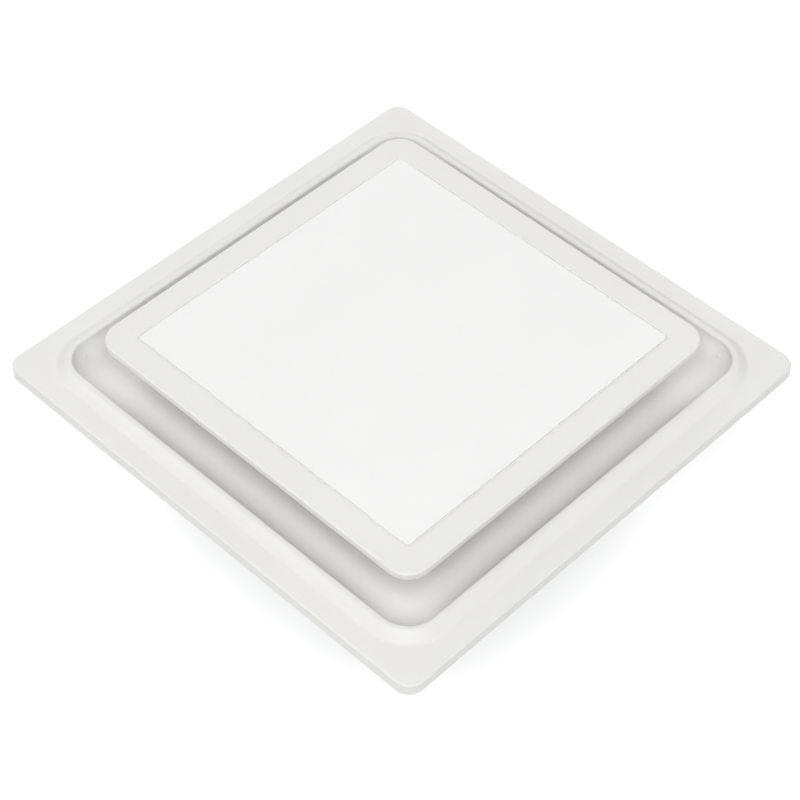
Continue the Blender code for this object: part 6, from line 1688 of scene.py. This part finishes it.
def seen_directly(tree):
    """One where a camera ray or a ray through glass arrives, else zero."""
    path = tree.nodes.new("ShaderNodeLightPath")
    either = tree.nodes.new("ShaderNodeMath")
    either.operation = "MAXIMUM"
    tree.links.new(path.outputs["Is Camera Ray"], either.inputs[0])
    tree.links.new(path.outputs["Is Transmission Ray"], either.inputs[1])
    return either.outputs[0]


class FAN_OT_stage(bpy.types.Operator):
    """Set the camera, the soft lamps, the even sky and the pale floor"""
    bl_idname = "fan.stage"
    bl_label = "Stage"

    def execute(self, context):
        settings = context.scene.fan_stage
        scene = context.scene
        right, up, back = view_axes(settings)
        lens = bpy.data.cameras.new("camera")
        lens.sensor_width = 36.0
        lens.lens = settings.lens
        camera = placed("camera", lens)
        turn_matrix = Matrix((right, up, back)).transposed()
        place = Vector(settings.target) + back * settings.distance
        camera.matrix_world = Matrix.Translation(place) @ turn_matrix.to_4x4()
        scene.camera = camera
        scene.view_settings.view_transform = "Standard"
        self.add_world(scene, settings)
        self.add_floor(settings)
        for name, (degrees, height) in LAMP_PLACES.items():
            self.add_lamp(name, settings.azimuth + math.radians(degrees), math.radians(height), settings)
        return {"FINISHED"}

    def add_world(self, scene, settings):
        """An even sky that lights the fan softly, is brighter in mirrors and white to the camera."""
        world = bpy.data.worlds.new("sky")
        world.use_nodes = True
        tree = world.node_tree
        sky = tree.nodes["Background"]
        path = tree.nodes.new("ShaderNodeLightPath")
        lit = between(tree, path.outputs["Is Glossy Ray"], settings.sky, settings.mirrored_sky)
        tree.links.new(between(tree, seen_directly(tree), lit, 1.0), sky.inputs["Strength"])
        sky.inputs["Color"].default_value = (1, 1, 1, 1)
        scene.world = world

    def add_floor(self, settings):
        """A wide pale floor that looks white where it is lit and keeps the fan's shadow."""
        bm = bmesh.new()
        bmesh.ops.create_grid(bm, x_segments=1, y_segments=1, size=settings.floor_half)
        mesh = as_mesh(bm, "floor")
        floor = placed("floor", mesh)
        material = bpy.data.materials.new("pale_floor")
        material.use_nodes = True
        tree = material.node_tree
        shader = tree.nodes["Principled BSDF"]
        shader.inputs["Base Color"].default_value = (*settings.floor_colour, 1)
        shader.inputs["Roughness"].default_value = 0.9
        shader.inputs["Specular IOR Level"].default_value = 0.0
        shader.inputs["Emission Color"].default_value = (1, 1, 1, 1)
        away = tree.nodes.new("ShaderNodeVectorMath")
        away.operation = "LENGTH"
        tree.links.new(tree.nodes.new("ShaderNodeTexCoord").outputs["Object"], away.inputs[0])
        fade = between(tree, away.outputs["Value"], settings.floor_glow, 1.0,
                       settings.fade_start, settings.fade_end)
        tree.links.new(between(tree, seen_directly(tree), 0.0, fade), shader.inputs["Emission Strength"])
        mesh.materials.append(material)

    def add_lamp(self, name, azimuth, elevation, settings):
        """A square soft lamp that faces the fan."""
        light = bpy.data.lights.new(name + "_lamp", "AREA")
        light.shape = "SQUARE"
        light.size = settings.lamp_width
        light.energy = getattr(settings, name)
        way = way_to(azimuth, elevation)
        lamp = placed(name + "_lamp", light)
        lamp.location = Vector(settings.target) + way * settings.lamp_distance
        lamp.visible_glossy = name not in ("low", "back")
        lamp.rotation_mode = "QUATERNION"
        lamp.rotation_quaternion = way.to_track_quat("Z", "Y")


OPERATORS = (FAN_OT_stage, FAN_OT_finishes, FAN_OT_housing, FAN_OT_duct, FAN_OT_blower, FAN_OT_motor,
             FAN_OT_wiring, FAN_OT_springs, FAN_OT_grille, FAN_OT_pan, FAN_OT_driver, FAN_OT_light_panel)


class FAN_PT_pieces(bpy.types.Panel):
    """Lists the fan's pieces and their settings"""
    bl_idname = "FAN_PT_pieces"
    bl_label = "Bathroom fan with light"
    bl_space_type = "VIEW_3D"
    bl_region_type = "UI"
    bl_category = "Fan"

    def draw(self, context):
        for operator in OPERATORS:
            self.layout.operator(operator.bl_idname)
        for name, settings in SETTINGS.items():
            box = self.layout.box()
            for setting in settings.__annotations__:
                box.prop(getattr(context.scene, name), setting)


def register():
    for settings in SETTINGS.values():
        bpy.utils.register_class(settings)
    for operator in OPERATORS:
        bpy.utils.register_class(operator)
    bpy.utils.register_class(FAN_PT_pieces)
    for name, settings in SETTINGS.items():
        setattr(bpy.types.Scene, name, bpy.props.PointerProperty(type=settings))


def unregister():
    for name in SETTINGS:
        delattr(bpy.types.Scene, name)
    bpy.utils.unregister_class(FAN_PT_pieces)
    for operator in reversed(OPERATORS):
        bpy.utils.unregister_class(operator)
    for settings in SETTINGS.values():
        bpy.utils.unregister_class(settings)


def main():
    """Builds every piece in order."""
    register()
    bpy.ops.fan.stage()
    bpy.ops.fan.finishes()
    bpy.ops.fan.housing()
    bpy.ops.fan.duct()
    bpy.ops.fan.blower()
    bpy.ops.fan.motor()
    bpy.ops.fan.wiring()
    bpy.ops.fan.springs()
    bpy.ops.fan.grille()
    bpy.ops.fan.pan()
    bpy.ops.fan.driver()
    bpy.ops.fan.light_panel()


if __name__ == "__main__":
    main()
